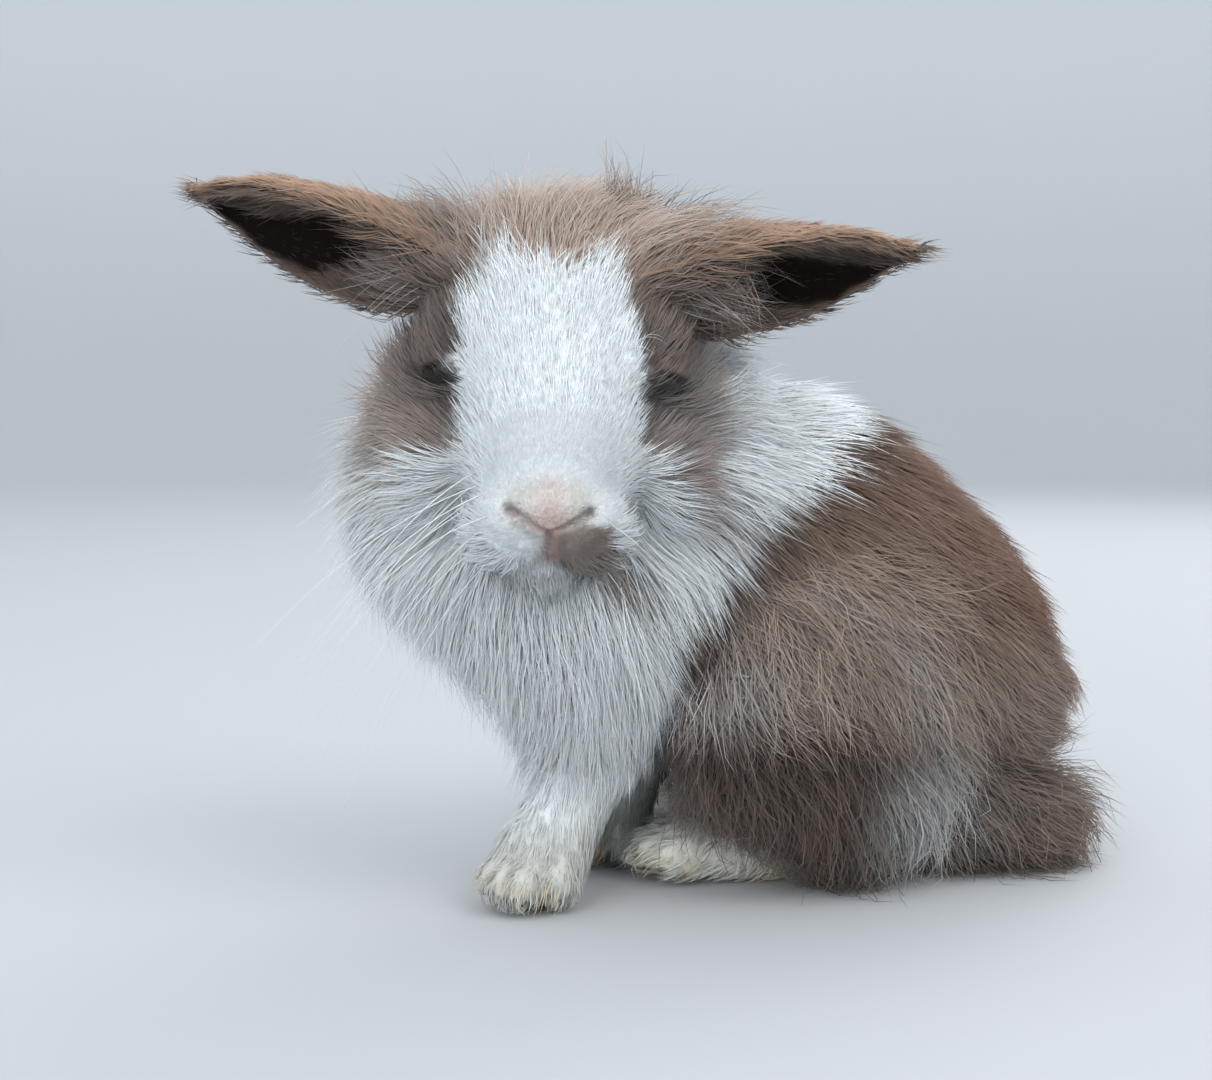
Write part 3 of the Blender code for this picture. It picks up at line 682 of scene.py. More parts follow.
def coat_flow(points, normals, shares):
    """Which way the hair lies at each point, blended from each kind's own flow."""
    down = -UP
    back = np.tile(BACKWARD, (len(points), 1))
    side = np.sign(in_body(points)[1])[:, None]
    a, l, u = in_head(points)
    away = [unit(points - head_point(*place)) for place in ((44, 0, -5), (-14, 0, -6), (20, 0, 4))]
    from_nose, from_nape, from_brow = away
    lips = (ease(24, 30, a) * ease(-9, -15, u))[:, None]
    cheek = ease(14, 26, np.abs(l)) * ease(-2, -14, u)
    flows = {
        "face": from_nose + down * ((0.7 * cheek)[:, None] + 1.1 * lips),
        "crown": from_nape * 0.9 + UP * 0.6 + HEAD_AXES[1] * (l / 14)[:, None],
        "mane": from_brow + down * 0.95 + BACKWARD * (0.9 * ease(10, -30, a))[:, None],
        "back": back + down * 0.55 + LEFTWARD * side * 0.12,
        "thigh_left": back * 0.42 + down * 0.95,
        "thigh_right": back * 0.42 + down * 0.95,
        "foreleg": down + unit(np.array((-0.3, -0.6, 0))) * 0.35,
        "foot": -back * 0.9 + down * 0.25,
        "tail": back * 0.8 + down * 0.55,
    }
    total = sum(unit(flows[kind]) * shares[:, [k]] for k, kind in enumerate(KINDS))
    waves = [ripple(points, 34, 11 + k) + 0.6 * ripple(points, 12, 21 + k) for k in range(3)]
    swirl = np.stack(waves, axis=1)
    wool = share(shares, "thigh_left", "thigh_right", "crown", "tail")
    swirl *= (0.08 + 0.5 * wool + 0.14 * share(shares, "mane") + 0.1 * share(shares, "back"))[:, None]
    return square_to(unit(total) + swirl, normals)


def outline_depth(x, y, outline):
    """How far points are inside a closed outline, less than zero outside it.

    A point is inside if a ray from it crosses the edges an odd number of times.
    """
    corners = np.array(outline, float)
    inside = np.zeros(len(x), bool)
    best = np.full(len(x), 1e9)
    for (ax, ay), (bx, by) in zip(corners, np.roll(corners, -1, axis=0)):
        dx, dy = bx - ax, by - ay
        t = np.clip(((x - ax) * dx + (y - ay) * dy) / (dx**2 + dy**2), 0, 1)
        best = np.minimum(best, np.hypot(x - ax - t * dx, y - ay - t * dy))
        crosses = (ay > y) != (by > y)
        inside ^= crosses & (x < ax + (y - ay) * dx / np.where(by == ay, 1e-9, dy))
    return np.where(inside, best, -best)


def mixed(base, colour, amount):
    """The first colour where the amount is 0, the second where it is 1. Each is one colour or many."""
    return base + (colour - base) * np.clip(amount, 0, 1)[:, None]


# Edges of the white blaze to each side, in mm from the middle, at places along the head
BLAZE_LEFT = (
    (-26, 8.5), (-22, 10.5), (-17, 12.5), (-9, 14.6), (-1, 16.2), (7, 17), (11.4, 17.9), (13.6, 19.5),
    (17, 25),
)
BLAZE_RIGHT = ((-26, 10), (-22, 13), (-17, 16), (-9, 20), (2, 20), (10, 19.5), (14.5, 19.6), (17, 25))
# How far forward the brown of the cheeks reaches, at distances from the middle
CHEEK_LEFT = ((19, 14.5), (25, 16.5), (28, 18), (31, 20.5), (34, 23), (40, 23))
CHEEK_RIGHT = ((19, 18.5), (24, 18.5), (29, 16), (35, 10.5), (40, 9))
# How far back the white of the shoulders reaches, at heights above the floor
SHOULDER_WHITE = (
    (8, 0), (48, 0), (54, 2), (58, 7), (62, 11), (69, 16), (75, 19.5), (78, 25), (80, 31), (84, 37), (91, 45),
    (95, 52), (106, 58),
)
# The dark patch beside the mouth as seen from in front, in mm across and above the floor
MOUTH_PATCH = (
    (-10.2, 78.2), (-5.6, 78.6), (-1.1, 78.3), (2.6, 76), (4.8, 70), (7.2, 66), (11.5, 59.5), (7.5, 56.5),
    (3, 58.5), (-2, 63), (-7.8, 69.6), (-10.4, 72),
)
# How far back the pale ridge of the haunch lies, at heights above the floor
HAUNCH_RIDGE = ((30, 50), (43, 48), (52, 42), (58, 34), (62, 26))


def past_cheek(l, u):
    """How far points are to the left of the head's brown, in mm. It reaches 4 mm further low down."""
    return l - 36 - 4 * ease(-4, -14, u)


def head_marks(points):
    """White blaze and muzzle, brown round the eyes and cheeks, tan wool on the crown, pink nose, and painted
    shade round the lids, beside the blaze by the eyes, in the nostrils and cleft, on the chin and under the
    lip.
    """
    a, l, u = in_head(points)
    wide = np.abs(l)
    rough = 1.2 * ripple(points, 9, 31) + 0.9 * ripple(points, 3.4, 32)
    blaze = np.where(l > 0, read_off(BLAZE_LEFT, a), read_off(BLAZE_RIGHT, a))
    beyond = wide - blaze + rough * 0.7
    front = np.where(l > 0, read_off(CHEEK_LEFT, wide), read_off(CHEEK_RIGHT, wide)) + rough
    brown = ease(-1.0, 1.0, beyond) * ease(1.5, -1.5, a - front)
    wisps = 2.4 * ripple(points, 1.8, 35) * ease(-8, -14, a)
    crown = ease(0.8, -1.8, a + 15.5 + 0.07 * l * l + rough * 1.6 + wisps)
    behind = ease(-44, -54, a + rough)
    beside = ease(-1.5, 1.5, past_cheek(l, u)) * ease(4, 0, u)
    pigment = np.maximum(brown, crown) * (1 - behind) * (1 - beside)
    low = ease(0, -14, u + rough * 0.6)
    high = np.maximum(crown * ease(22, 13, wide + rough), ease(5, 12, u + rough) * ease(-9, -16, a))
    pale_wool = high * ease(-34, -6, l) * (1 - 0.6 * ease(20, 30, l))
    shade = mixed(TEMPLE, MAUVE, 0.9 * low * (l > 0))
    shade = mixed(shade, TAN, np.maximum(pale_wool, 0.8 * low * (l < 0)))
    shade = mixed(shade, UMBER, 0.5 * ease(0.0, 0.9, ripple(points, 8, 34)) * (1 - high))
    # Painted shade on the lids round each nearly closed slit, and a painted shadow along the blaze's edge
    # beside the eyes
    rings = sum(bell(np.clip(slit_depth(points, way) - 0.5, 0, FAR_FROM_SLIT), 1.5) for _, way in SIDES)
    blaze_edge_shade = bell(beyond - 1.5, 2.6) * ease(-14, -6, a) * ease(16, 9, a)
    shade = mixed(shade, PAINTED_SHADE_DARK, np.maximum(0.92 * rings, 0.5 * blaze_edge_shade))
    colour = mixed(WHITE, shade, pigment)
    streaks = ease(24, 30, wide) * ease(19, 14, a) * ease(-6, -12, u)
    streaks = streaks * ease(-0.1, 0.5, ripple(points * (1, 1, 2.5), 7, 33))
    colour = mixed(colour, TAN, 0.6 * streaks * (l < 0))
    across, _, height = ((points - SHIFT) / MM).T
    patch = outline_depth(across + rough * 0.5, height + rough * 0.5, MOUTH_PATCH)
    colour = mixed(colour, TEMPLE, 0.95 * ease(-1.4, 0.8, patch) * ease(16, 21, a))
    nose = spot(l, u + 2.4, 8.2, 4.4) * ease(28, 31, a)
    colour = mixed(colour, NOSE_CREAM, 0.75 * nose)
    colour = mixed(colour, NOSE_PINK, 0.6 * bell(l, 3.0) * nose)
    # Painted shade in the nostril slits, over pink-brown skin
    colour = mixed(colour, SLIT_SHADE_PINK, bell(either_side(points, NOSTRIL), 0.9))
    # The cleft: pink skin, with painted shade along its crease
    cleft = line_distance(points, PHILTRUM)
    colour = mixed(colour, NOSE_PINK, 0.8 * bell(cleft, 1.5))
    colour = mixed(colour, SLIT_SHADE_PINK, 0.95 * bell(cleft, 0.7))
    # Painted shade on the chin under the mouth, in the pale grey of wool
    chin = spot(l, u + 23, 8, 5) * ease(22, 26, a)
    colour = mixed(colour, WOOL_GREY, 0.35 * chin)
    # Painted shadow under the upper lip, along the line of the mouth
    return mixed(colour, PAINTED_SHADE_DARK, 0.85 * bell(either_side(points, MOUTH), 1.1))


def body_marks(points, shares):
    """White shoulders, chocolate back, taupe haunches with a pale tuft, cream feet with stained toes."""
    b, s, h = in_body(points)
    tail, foot, foreleg = (share(shares, kind) for kind in ("tail", "foot", "foreleg"))
    rough = 2.0 * ripple(points, 14, 41) + 1.4 * ripple(points, 4.5, 42)
    edge = read_off(SHOULDER_WHITE, h)
    brown = mixed(CHOCOLATE, DARK_BROWN, ease(24, 4, b - edge) * 0.7)
    brown = mixed(brown, 0.6 * CHOCOLATE, 0.55 * ease(0.1, 0.9, ripple(points, 6, 46)))
    faded = 0.75 * ease(58, 30, h + rough) * ease(40, 68, b)
    brown = mixed(brown, TAUPE, faded + 0.25 * ease(0.2, 0.9, ripple(points, 12, 43)))
    haunch = mixed(TAUPE, TAN, 0.6 * ease(52, 66, h))
    haunch = mixed(haunch, WOOL_GREY, 0.6 * spot(b - 8, h - 40, 10, 9, power=1))
    haunch = mixed(haunch, 0.72 * UMBER, ease(33, 23, h + rough) * 0.95)
    haunch = mixed(haunch, 0.55 * DARK_BROWN, 0.9 * bell(h - 28 + rough, 5.5) * ease(56, 40, b))
    haunch = mixed(haunch, CHOCOLATE, 0.3 * ease(0.1, 0.9, ripple(points, 16, 44)))
    pale = spot(b - 53, h - 13, 14, 14) * ease(12, 22, np.abs(s))
    ridge = bell(b - read_off(HAUNCH_RIDGE, h), 5) * ease(28, 36, h) * ease(66, 58, h)
    haunch = mixed(haunch, WOOL_GREY, 0.95 * pale + 0.4 * ridge)
    shade = mixed(brown, haunch, share(shares, "thigh_left", "thigh_right"))
    shade = mixed(shade, UMBER, tail)
    feet = foot + foreleg
    pigment = np.maximum(ease(-1.5, 1.5, b - edge + rough), tail) * (1 - ease(0.35, 0.65, feet))
    colour = mixed(WHITE, shade, pigment)
    colour = mixed(colour, CREAM, ease(0.4, 0.8, foot))
    colour = mixed(colour, UMBER, ease(52, 60, b + rough) * foot)
    colour = mixed(colour, 0.66 * CREAM, 0.9 * ease(24, 8, h) * foreleg)
    low = ease(9, 2, h + 0.5 * rough)
    return mixed(colour, STAIN, 0.55 * low * feet * ease(-0.2, 0.6, ripple(points, 11, 45)))


def coat_colours(points, shares):
    """The head's marks on the face, the crown and the mane beside them, and the body's elsewhere."""
    a, l, u = in_head(points)
    wide = np.abs(l)
    cheeks = ease(-30, -22, a) * ease(-30, -24, u) * ease(20, 24, wide) * ease(1.5, -1.5, past_cheek(l, u))
    near_mouth = ease(12, 18, a) * ease(29, 23, wide)
    mane = share(shares, "mane") * np.maximum(cheeks, near_mouth)
    on_head = np.maximum(share(shares, "face", "crown"), mane)
    return mixed(body_marks(points, shares), head_marks(points), on_head)


def bare_skin(points):
    """Where no hair grows: in the nostrils and the cleft, along the lips and between the lids."""
    bare = bell(either_side(points, NOSTRIL), 0.7) + bell(either_side(points, MOUTH), 0.9)
    bare += bell(line_distance(points, PHILTRUM), 0.7)
    for _, way in SIDES:
        bare += ease(0.7, 0.2, slit_depth(points, way))
    return np.clip(bare, 0, 1)


def length_factor(points):
    """Hair is velvet on the nose and short over the forehead, and long at the lips, cheeks and temples."""
    a, l, u = in_head(points)
    from_nose = np.sqrt((a - 36) ** 2 + (0.8 * l) ** 2 + (u + 4) ** 2)
    wide = np.abs(l)
    factor = 0.20 + 0.45 * ease(4, 26, from_nose) + 0.75 * ease(3, 10, from_nose) * ease(-4, -11, u)
    factor += 0.8 * ease(7, 18, wide) * ease(6, -8, u) * ease(2, 14, from_nose)
    factor += 0.9 * ease(13, 19, wide) * ease(14, 4, a)
    factor += 0.7 * ease(16, 23, wide) * ease(3, -12, a)
    factor *= 1 - 0.65 * bell(either_side(points, MOUTH), 3) * ease(9, 4, wide)
    return factor * (0.3 + 0.7 * ease(0.3, 2.6, nearer_slit(points)))


@dataclass
class Ground:
    """A surface that hair grows on: values at its points, and its triangles with their unwrap."""

    points: np.ndarray
    normals: np.ndarray
    triangles: np.ndarray
    unwrap: np.ndarray
    colour: np.ndarray
    flow: np.ndarray
    values: np.ndarray
    density: np.ndarray
    tree: object
    shares: np.ndarray = None


GROUNDS = {}
VALUE_NAMES = ("length", "width", "root_stand", "tip_stand", "frizz", "clump")
LENGTH, WIDTH, ROOT_STAND, TIP_STAND, FRIZZ, CLUMP = range(len(VALUE_NAMES))


def unwrap(obj):
    """Lays the surface out flat by its own shape, in islands that don't overlap."""
    bpy.ops.object.select_all(action="DESELECT")
    obj.select_set(True)
    bpy.context.view_layer.objects.active = obj
    obj.data.uv_layers.new(name=UV_NAME)
    bpy.ops.object.mode_set(mode="EDIT")
    bpy.ops.mesh.select_all(action="SELECT")
    bpy.ops.uv.smart_project(angle_limit=math.radians(66), island_margin=0.002)
    bpy.ops.object.mode_set(mode="OBJECT")


def unwrap_corners(mesh, loops):
    flat = np.empty(len(mesh.loops) * 2, np.float32)
    mesh.uv_layers[UV_NAME].data.foreach_get("uv", flat)
    return flat.reshape(-1, 2)[loops]


def paint(obj, colours, along=None):
    """Stores a colour at each point, with how far along the hair it is in the fourth value."""
    layer = obj.data.attributes.new("coat", "FLOAT_COLOR", "POINT")
    values = np.ones((len(colours), 4), np.float32)
    values[:, :3] = np.clip(colours, 0, 1)
    if along is not None:
        values[:, 3] = along
    layer.data.foreach_set("color", values.ravel())


# Where the skin is finer: places in the head frame and how far round them, and how far out of the eye
FINER = (((36, 0, -6), 11), ((30, 0, -18), 12))
FINER_AT_EYE = (6, 8)
SMOOTHINGS = 10


def skin_surface(voxel, forms):
    """The forms of flesh melted into one surface, finer round the nose, mouth and eyes."""
    obj = mesh_object("skin", *joined([form for kind in forms.values() for form in kind]))
    remesh = obj.modifiers.new("one surface", "REMESH")
    remesh.mode = "VOXEL"
    remesh.voxel_size = voxel * MM
    soften = obj.modifiers.new("soften", "SMOOTH")
    soften.factor = 0.5
    soften.iterations = SMOOTHINGS
    mesh = evaluated_mesh(obj)
    near = [(Vector(head_point(*place)), radius * MM) for place, radius in FINER]
    ahead, radius = FINER_AT_EYE
    for _, way in SIDES:
        centre, _, _, out = eye_frame(way)
        near.append((Vector(centre + out * ahead * MM), radius * MM))
    refined(mesh, near, 3)
    return obj


def skin_values(points, shares):
    """The coat's values and density over the skin. On the far side it is shorter and lies flatter."""
    values = shares @ np.array([[getattr(COATS[kind], name) for name in VALUE_NAMES] for kind in KINDS])
    factor = 1 + (length_factor(points) - 1) * share(shares, "face")
    b, _, h = in_body(points)
    values[:, LENGTH] *= factor * (1 + 0.35 * ease(55, 72, b) * ease(38, 24, h))
    values[:, LENGTH] *= 1 - 0.3 * share(shares, "mane") * ease(92, 108, h)
    values[:, LENGTH] *= 1 - 0.3 * share(shares, "crown") * ease(-12, -18, in_head(points)[1])
    values[:, LENGTH] *= 1 - 0.7 * share(shares, "thigh_left") * ease(34, 20, b) * ease(26, 14, h)
    values[:, ROOT_STAND] += 0.24 * share(shares, "face") * np.clip(factor - 0.8, 0, 1)
    values[:, WIDTH] *= 0.72 + 0.28 * np.clip(factor, 0, 1)
    far_side = ease(38, 56, points[:, 1] / MM)
    for column, less in ((LENGTH, 0.3), (ROOT_STAND, 0.5), (TIP_STAND, 0.6)):
        values[:, column] *= 1 - less * far_side
    density = (shares @ np.array([COATS[kind].density for kind in KINDS])) * (1 - bare_skin(points))
    return values, density * (1 + 0.8 * ease(0.6, 0.2, factor))


def build_skin(voxel):
    """One surface over all the forms of flesh, refined and sculpted on the face."""
    forms = skin_forms()
    obj = skin_surface(voxel, forms)
    mesh = obj.data
    points = sculpt_face(coordinates(mesh), coordinates(mesh, normals=True))
    points[:, 2] = np.maximum(points[:, 2], FLOOR_GAP * MM)
    mesh.vertices.foreach_set("co", points.astype(np.float32).ravel())
    mesh.update()
    mesh.shade_smooth()
    unwrap(obj)
    shares = shares_of_kinds(points, forms)
    flow = coat_flow(points, coordinates(obj.data, normals=True), shares)
    colour = coat_colours(points, shares)
    keep_ground("skin", obj, points, colour, flow, *skin_values(points, shares), shares)
    return obj


def keep_ground(name, obj, points, colour, flow, values, density, shares=None):
    """Keeps what the hair needs to know of a surface, and stores the surface's own colours on it."""
    triangles, loops = corner_triangles(obj.data)
    flat = unwrap_corners(obj.data, loops)
    normals = coordinates(obj.data, normals=True)
    tree = tree_of(points, triangles)
    GROUNDS[name] = Ground(points, normals, triangles, flat, colour, flow, values, density, tree, shares)
    paint(obj, colour)


def scatter(ground, weight, count, draw):
    """Roots spread over a surface: a face has its area times the weight, and places in it are uniform."""
    corners = ground.points[ground.triangles]
    area = np.linalg.norm(np.cross(corners[:, 1] - corners[:, 0], corners[:, 2] - corners[:, 0]), axis=1) / 2
    load = np.cumsum(area * weight[ground.triangles].mean(axis=1))
    where = (np.arange(count) + draw.random(count)) / count * load[-1]
    picks = np.minimum(np.searchsorted(load, where), len(area) - 1)
    mix = draw.random((count, 2))
    mix = np.where(mix.sum(axis=1, keepdims=True) > 1, 1 - mix, mix)
    weights = np.concatenate([1 - mix.sum(axis=1, keepdims=True), mix], axis=1)[:, :, None]

    def at(values):
        return (values[ground.triangles[picks]] * weights).sum(axis=1)

    flat = (ground.unwrap[picks] * weights).sum(axis=1)
    shares = None if ground.shares is None else at(ground.shares)
    normals, flow = unit(at(ground.normals)), unit(at(ground.flow))
    return at(ground.points), normals, flow, at(ground.colour), at(ground.values), flat, shares


def paths_over(ground, roots, normals, flow, values, steps, sag):
    """Each tuft's path: steps along the lie, tilted off the skin by a stand that eases from root to tip."""
    length = values[:, [LENGTH]] * MM
    root_stand, tip_stand = values[:, [ROOT_STAND]], values[:, [TIP_STAND]]
    path = [roots - normals * ROOT_SINK * MM]
    here, up = roots, normals
    for step in range(1, steps + 1):
        t = (step - 0.5) / steps
        stand = root_stand + (tip_stand - root_stand) * t**0.6
        way = unit(square_to(flow, up) * (1 - stand) + up * stand - UP * sag * t)
        here = here + way * length / steps
        place, normal, _ = nearest(ground.tree, here)
        here = here + normal * np.maximum(PATH_SKIN_GAP * MM - dot(here - place, normal), 0)
        here[:, 2] = np.maximum(here[:, 2], PATH_FLOOR_GAP * MM)
        up = unit(0.4 * up + 0.6 * normal)
        path.append(here)
    return np.stack(path, axis=1)


def gathered(path, values, share_of_locks, draw):
    """Draws the tufts' tips towards the nearest of some chosen tufts, so that the coat parts in locks."""
    count = len(path)
    chosen = draw.choice(count, max(1, int(count * share_of_locks)), replace=False)
    tree = KDTree(len(chosen))
    for place, index in enumerate(chosen):
        tree.insert(path[index, 0], place)
    tree.balance()
    lead = chosen[np.array([tree.find(root)[1] for root in path[:, 0]])]
    t = np.linspace(0, 1, path.shape[1])[None, :, None] ** 1.4
    pull = values[:, [CLUMP]][:, None] * draw.uniform(0.5, 1.2, (count, 1, 1))
    return path + (path[lead] - path) * np.clip(pull * t, 0, 0.9)


def hair_lines(path, normals, values, hairs, spread, draw):
    """The middle line of each hair.

    A hair follows its tuft at a small offset that closes up towards the tip, and strays by a frizz
    that grows with the distance along it.
    """
    tufts, nodes, _ = path.shape
    t = np.linspace(0, 1, nodes)[None, None, :, None]
    along = unit(path[:, 1] - path[:, 0])
    side = unit(np.cross(along, normals))

    def astray(amount):
        limited = np.clip(draw.normal(size=(tufts, hairs, 3)), -DRAW_LIMIT, DRAW_LIMIT)
        return (limited * (amount * values[:, LENGTH] * values[:, FRIZZ])[:, None, None] * MM)[:, :, None]

    disc = draw.normal(size=(tufts, hairs, 2)) * spread * MM
    offset = disc[..., :1] * along[:, None] + disc[..., 1:] * side[:, None]
    stray = astray(1.0)
    reach = draw.uniform(0.72, 1.08, (tufts, hairs, 1, 1))
    base = path[:, None, :1] + (path[:, None] - path[:, None, :1]) * reach
    lines = base + offset[:, :, None] * (1 - 0.3 * t) + stray * t**1.5
    if nodes > 3:
        lines = lines + 0.8 * astray(0.7) * np.sin(math.pi * t)
    lines = lines.reshape(tufts * hairs, nodes, 3)
    lines[:, 1:, 2] = np.maximum(lines[:, 1:, 2], FLOOR_GAP * MM)
    return lines


def hair_faces(steps):
    """One hair's triangles: rings of three points, closed at the root, and a single point at the tip."""
    faces = [(0, 1, 2)]
    for low in range(0, 3 * (steps - 1), 3):
        for c in range(3):
            here, beside = low + c, low + (c + 1) % 3
            faces += [(beside, here, here + 3), (beside, here + 3, beside + 3)]
    last = 3 * (steps - 1)
    return np.array(faces + [(last + (c + 1) % 3, last + c, last + 3) for c in range(3)])


def hair_mesh(lines, normals, values, hairs, draw):
    """Closed three-sided hairs round their lines, and soft normals that lean towards the skin's.

    Half the width, at s along the hair, is multiplied by 0.8 + 0.9 s - 1.1 s^2.
    """
    count, nodes, _ = lines.shape
    tangent = unit(np.gradient(lines, axis=1))
    up = np.repeat(normals, hairs, axis=0)[:, None]
    wide = unit(np.cross(tangent, up))
    rise = np.cross(wide, tangent)
    half = np.repeat(values[:, WIDTH], hairs) * draw.uniform(0.75, 1.25, count) * MM / 2
    s = np.linspace(0, 1, nodes)[:-1]
    profile = (0.8 + 0.9 * s - 1.1 * s * s)[None, :, None, None] * half[:, None, None, None]
    angle = np.radians((90, 210, 330))[None, None, :, None]
    corner = np.cos(angle) * wide[:, :-1, None] + np.sin(angle) * rise[:, :-1, None]
    rings = (lines[:, :-1, None] + corner * profile).reshape(count, -1, 3)
    points = np.concatenate([rings, lines[:, -1:]], axis=1)
    soft = unit(0.78 * up[:, None] + 0.22 * corner).reshape(count, -1, 3)
    soft = np.concatenate([soft, up], axis=1).reshape(-1, 3)
    starts = (np.arange(count) * points.shape[1])[:, None, None]
    return points.reshape(-1, 3), (hair_faces(nodes - 1)[None] + starts).reshape(-1, 3), soft


def hair_tints(colour, values, hairs, draw):
    """Each hair's colour. Tufts differ in tone, the more so the frizzier, and so do hairs in a tuft."""
    count = len(colour) * hairs
    uneven = draw.normal(size=(len(colour), 1)) * (0.02 + 0.7 * values[:, [FRIZZ]])
    tone = np.repeat(1 + uneven, hairs, axis=0) * draw.normal(1, 0.06, (count, 1))
    tint = np.repeat(colour, hairs, axis=0) * tone * draw.normal(1, 0.012, (count, 3))
    return np.clip(tint, 0, 0.97)


def hair_unwrap(flat, hairs, along):
    """A small patch for each tuft where its root is on the unwrap, with a column for each hair."""
    column = (np.tile(np.arange(hairs), len(flat)) + 0.5) / hairs - 0.5
    corner = 0.2 / hairs * np.append(np.tile((-1, 0, 1), len(along) // 3), 0)
    u = np.repeat(flat[:, 0], hairs)[:, None] + TUFT_PATCH * (column[:, None] + corner)
    v = np.repeat(flat[:, 1], hairs)[:, None] + TUFT_PATCH * (along - 0.5)
    return np.stack([u, v], axis=-1).reshape(-1, 2)


@dataclass
class Growth:
    """How one piece of the coat is made: its hairs' steps, their spread in mm, the share that leads."""

    triangles: int
    steps: int
    spread: float
    locks: float
    fur: str
    slot: str


# The pieces of the coat, in the order of their random draws
GROWTH = {
    "coat_velvet": Growth(110000, 1, 0.5, 0, "face_fur", "white_coat"),
    "coat_face": Growth(190000, 2, 0.6, 0.12, "face_fur", "white_coat"),
    "coat_crown": Growth(160000, 4, 0.9, 0.08, "crown_wool", "tan_coat"),
    "coat_mane_left": Growth(150000, 2, 1.0, 0.09, "mane_wool", "white_coat"),
    "coat_mane_right": Growth(150000, 2, 1.0, 0.09, "mane_wool", "white_coat"),
    "coat_back_left": Growth(130000, 2, 0.9, 0.09, "back_hair", "brown_coat"),
    "coat_back_right": Growth(80000, 2, 0.9, 0.09, "back_hair", "brown_coat"),
    "coat_thigh_left": Growth(175000, 3, 0.9, 0.08, "haunch_wool", "brown_coat"),
    "coat_thigh_right": Growth(75000, 3, 0.9, 0.08, "haunch_wool", "brown_coat"),
    "coat_tail": Growth(40000, 3, 0.8, 0.1, "haunch_wool", "brown_coat"),
    "coat_forelegs": Growth(80000, 2, 0.6, 0.12, "leg_fur", "white_coat"),
    "coat_hind_feet": Growth(50000, 2, 0.5, 0.12, "leg_fur", "white_coat"),
    "coat_ear_left": Growth(62000, 2, 0.5, 0.12, "ear_fur", "ear_coat"),
    "coat_ear_right": Growth(62000, 2, 0.5, 0.12, "ear_fur", "ear_coat"),
}
# How deep each fur's colour is at the root and how light at the tip, its roughness and its sheen
FURS = {
    "face_fur": (0.92, 1.04, 0.6, 0.15),
    "crown_wool": (0.72, 1.12, 0.65, 0.15),
    "mane_wool": (0.98, 1.02, 0.65, 0.15),
    "back_hair": (0.7, 1.12, 0.48, 0.1),
    "haunch_wool": (0.72, 1.12, 0.7, 0.2),
    "leg_fur": (0.98, 1.02, 0.65, 0.15),
    "ear_fur": (0.72, 1.1, 0.6, 0.15),
}


def finish_piece(obj, material, slot, *nodes):
    """Gives a piece its material and its place on the body, and hides the frame's nodes that it stands for.
    """
    obj.data.materials.append(material)
    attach(obj, BODY)
    if nodes:
        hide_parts(*nodes)


def grow(context, name, weight, ground="skin"):
    """Grows one piece of the coat where its weight says."""
    settings, plan, ground = context.scene.rabbit_coat, GROWTH[name], GROUNDS[ground]
    hairs, steps = settings.hairs, plan.steps
    made = settings.fullness * 1
    tufts = int(plan.triangles * made / (6 * steps - 2) / hairs)
    sag = settings.sag if steps > 2 else 0.0
    draw = np.random.default_rng(SEED + 1 + list(GROWTH).index(name))
    roots, normals, flow, colour, values, flat, shares = scatter(ground, weight, tufts, draw)
    longer = draw.uniform(0.75, 1.15, tufts)
    values[:, LENGTH] *= longer * (1 + 4.5 * values[:, FRIZZ] * draw.random(tufts) ** 4)
    flow = unit(flow + draw.normal(size=flow.shape) * 0.10)
    path = paths_over(ground, roots, normals, flow, values, steps, sag)
    if shares is not None:
        last_step = path[:, -1] - path[:, -2]
        colour = coat_colours(path[:, -2] + last_step * (1 - COLOUR_FROM_TIP * steps), shares)
    if plan.locks:
        path = gathered(path, values, plan.locks, draw)
    lines = hair_lines(path, normals, values, hairs, plan.spread, draw)
    points, triangles, soft = hair_mesh(lines, normals, values, hairs, draw)
    tints = hair_tints(colour, values, hairs, draw)
    along = np.append(np.repeat(np.linspace(0, 1, steps + 1)[:-1], 3), 1.0)
    obj = mesh_object(name, points, triangles)
    paint(obj, np.repeat(tints, len(along), axis=0), np.tile(along, len(lines)))
    layer = obj.data.uv_layers.new(name=UV_NAME)
    uv = hair_unwrap(flat, hairs, along)[triangles.ravel()]
    layer.data.foreach_set("uv", uv.astype(np.float32).ravel())
    obj.data.normals_split_custom_set_from_vertices(soft.tolist())
    finish_piece(obj, coat_material(plan.fur), plan.slot)


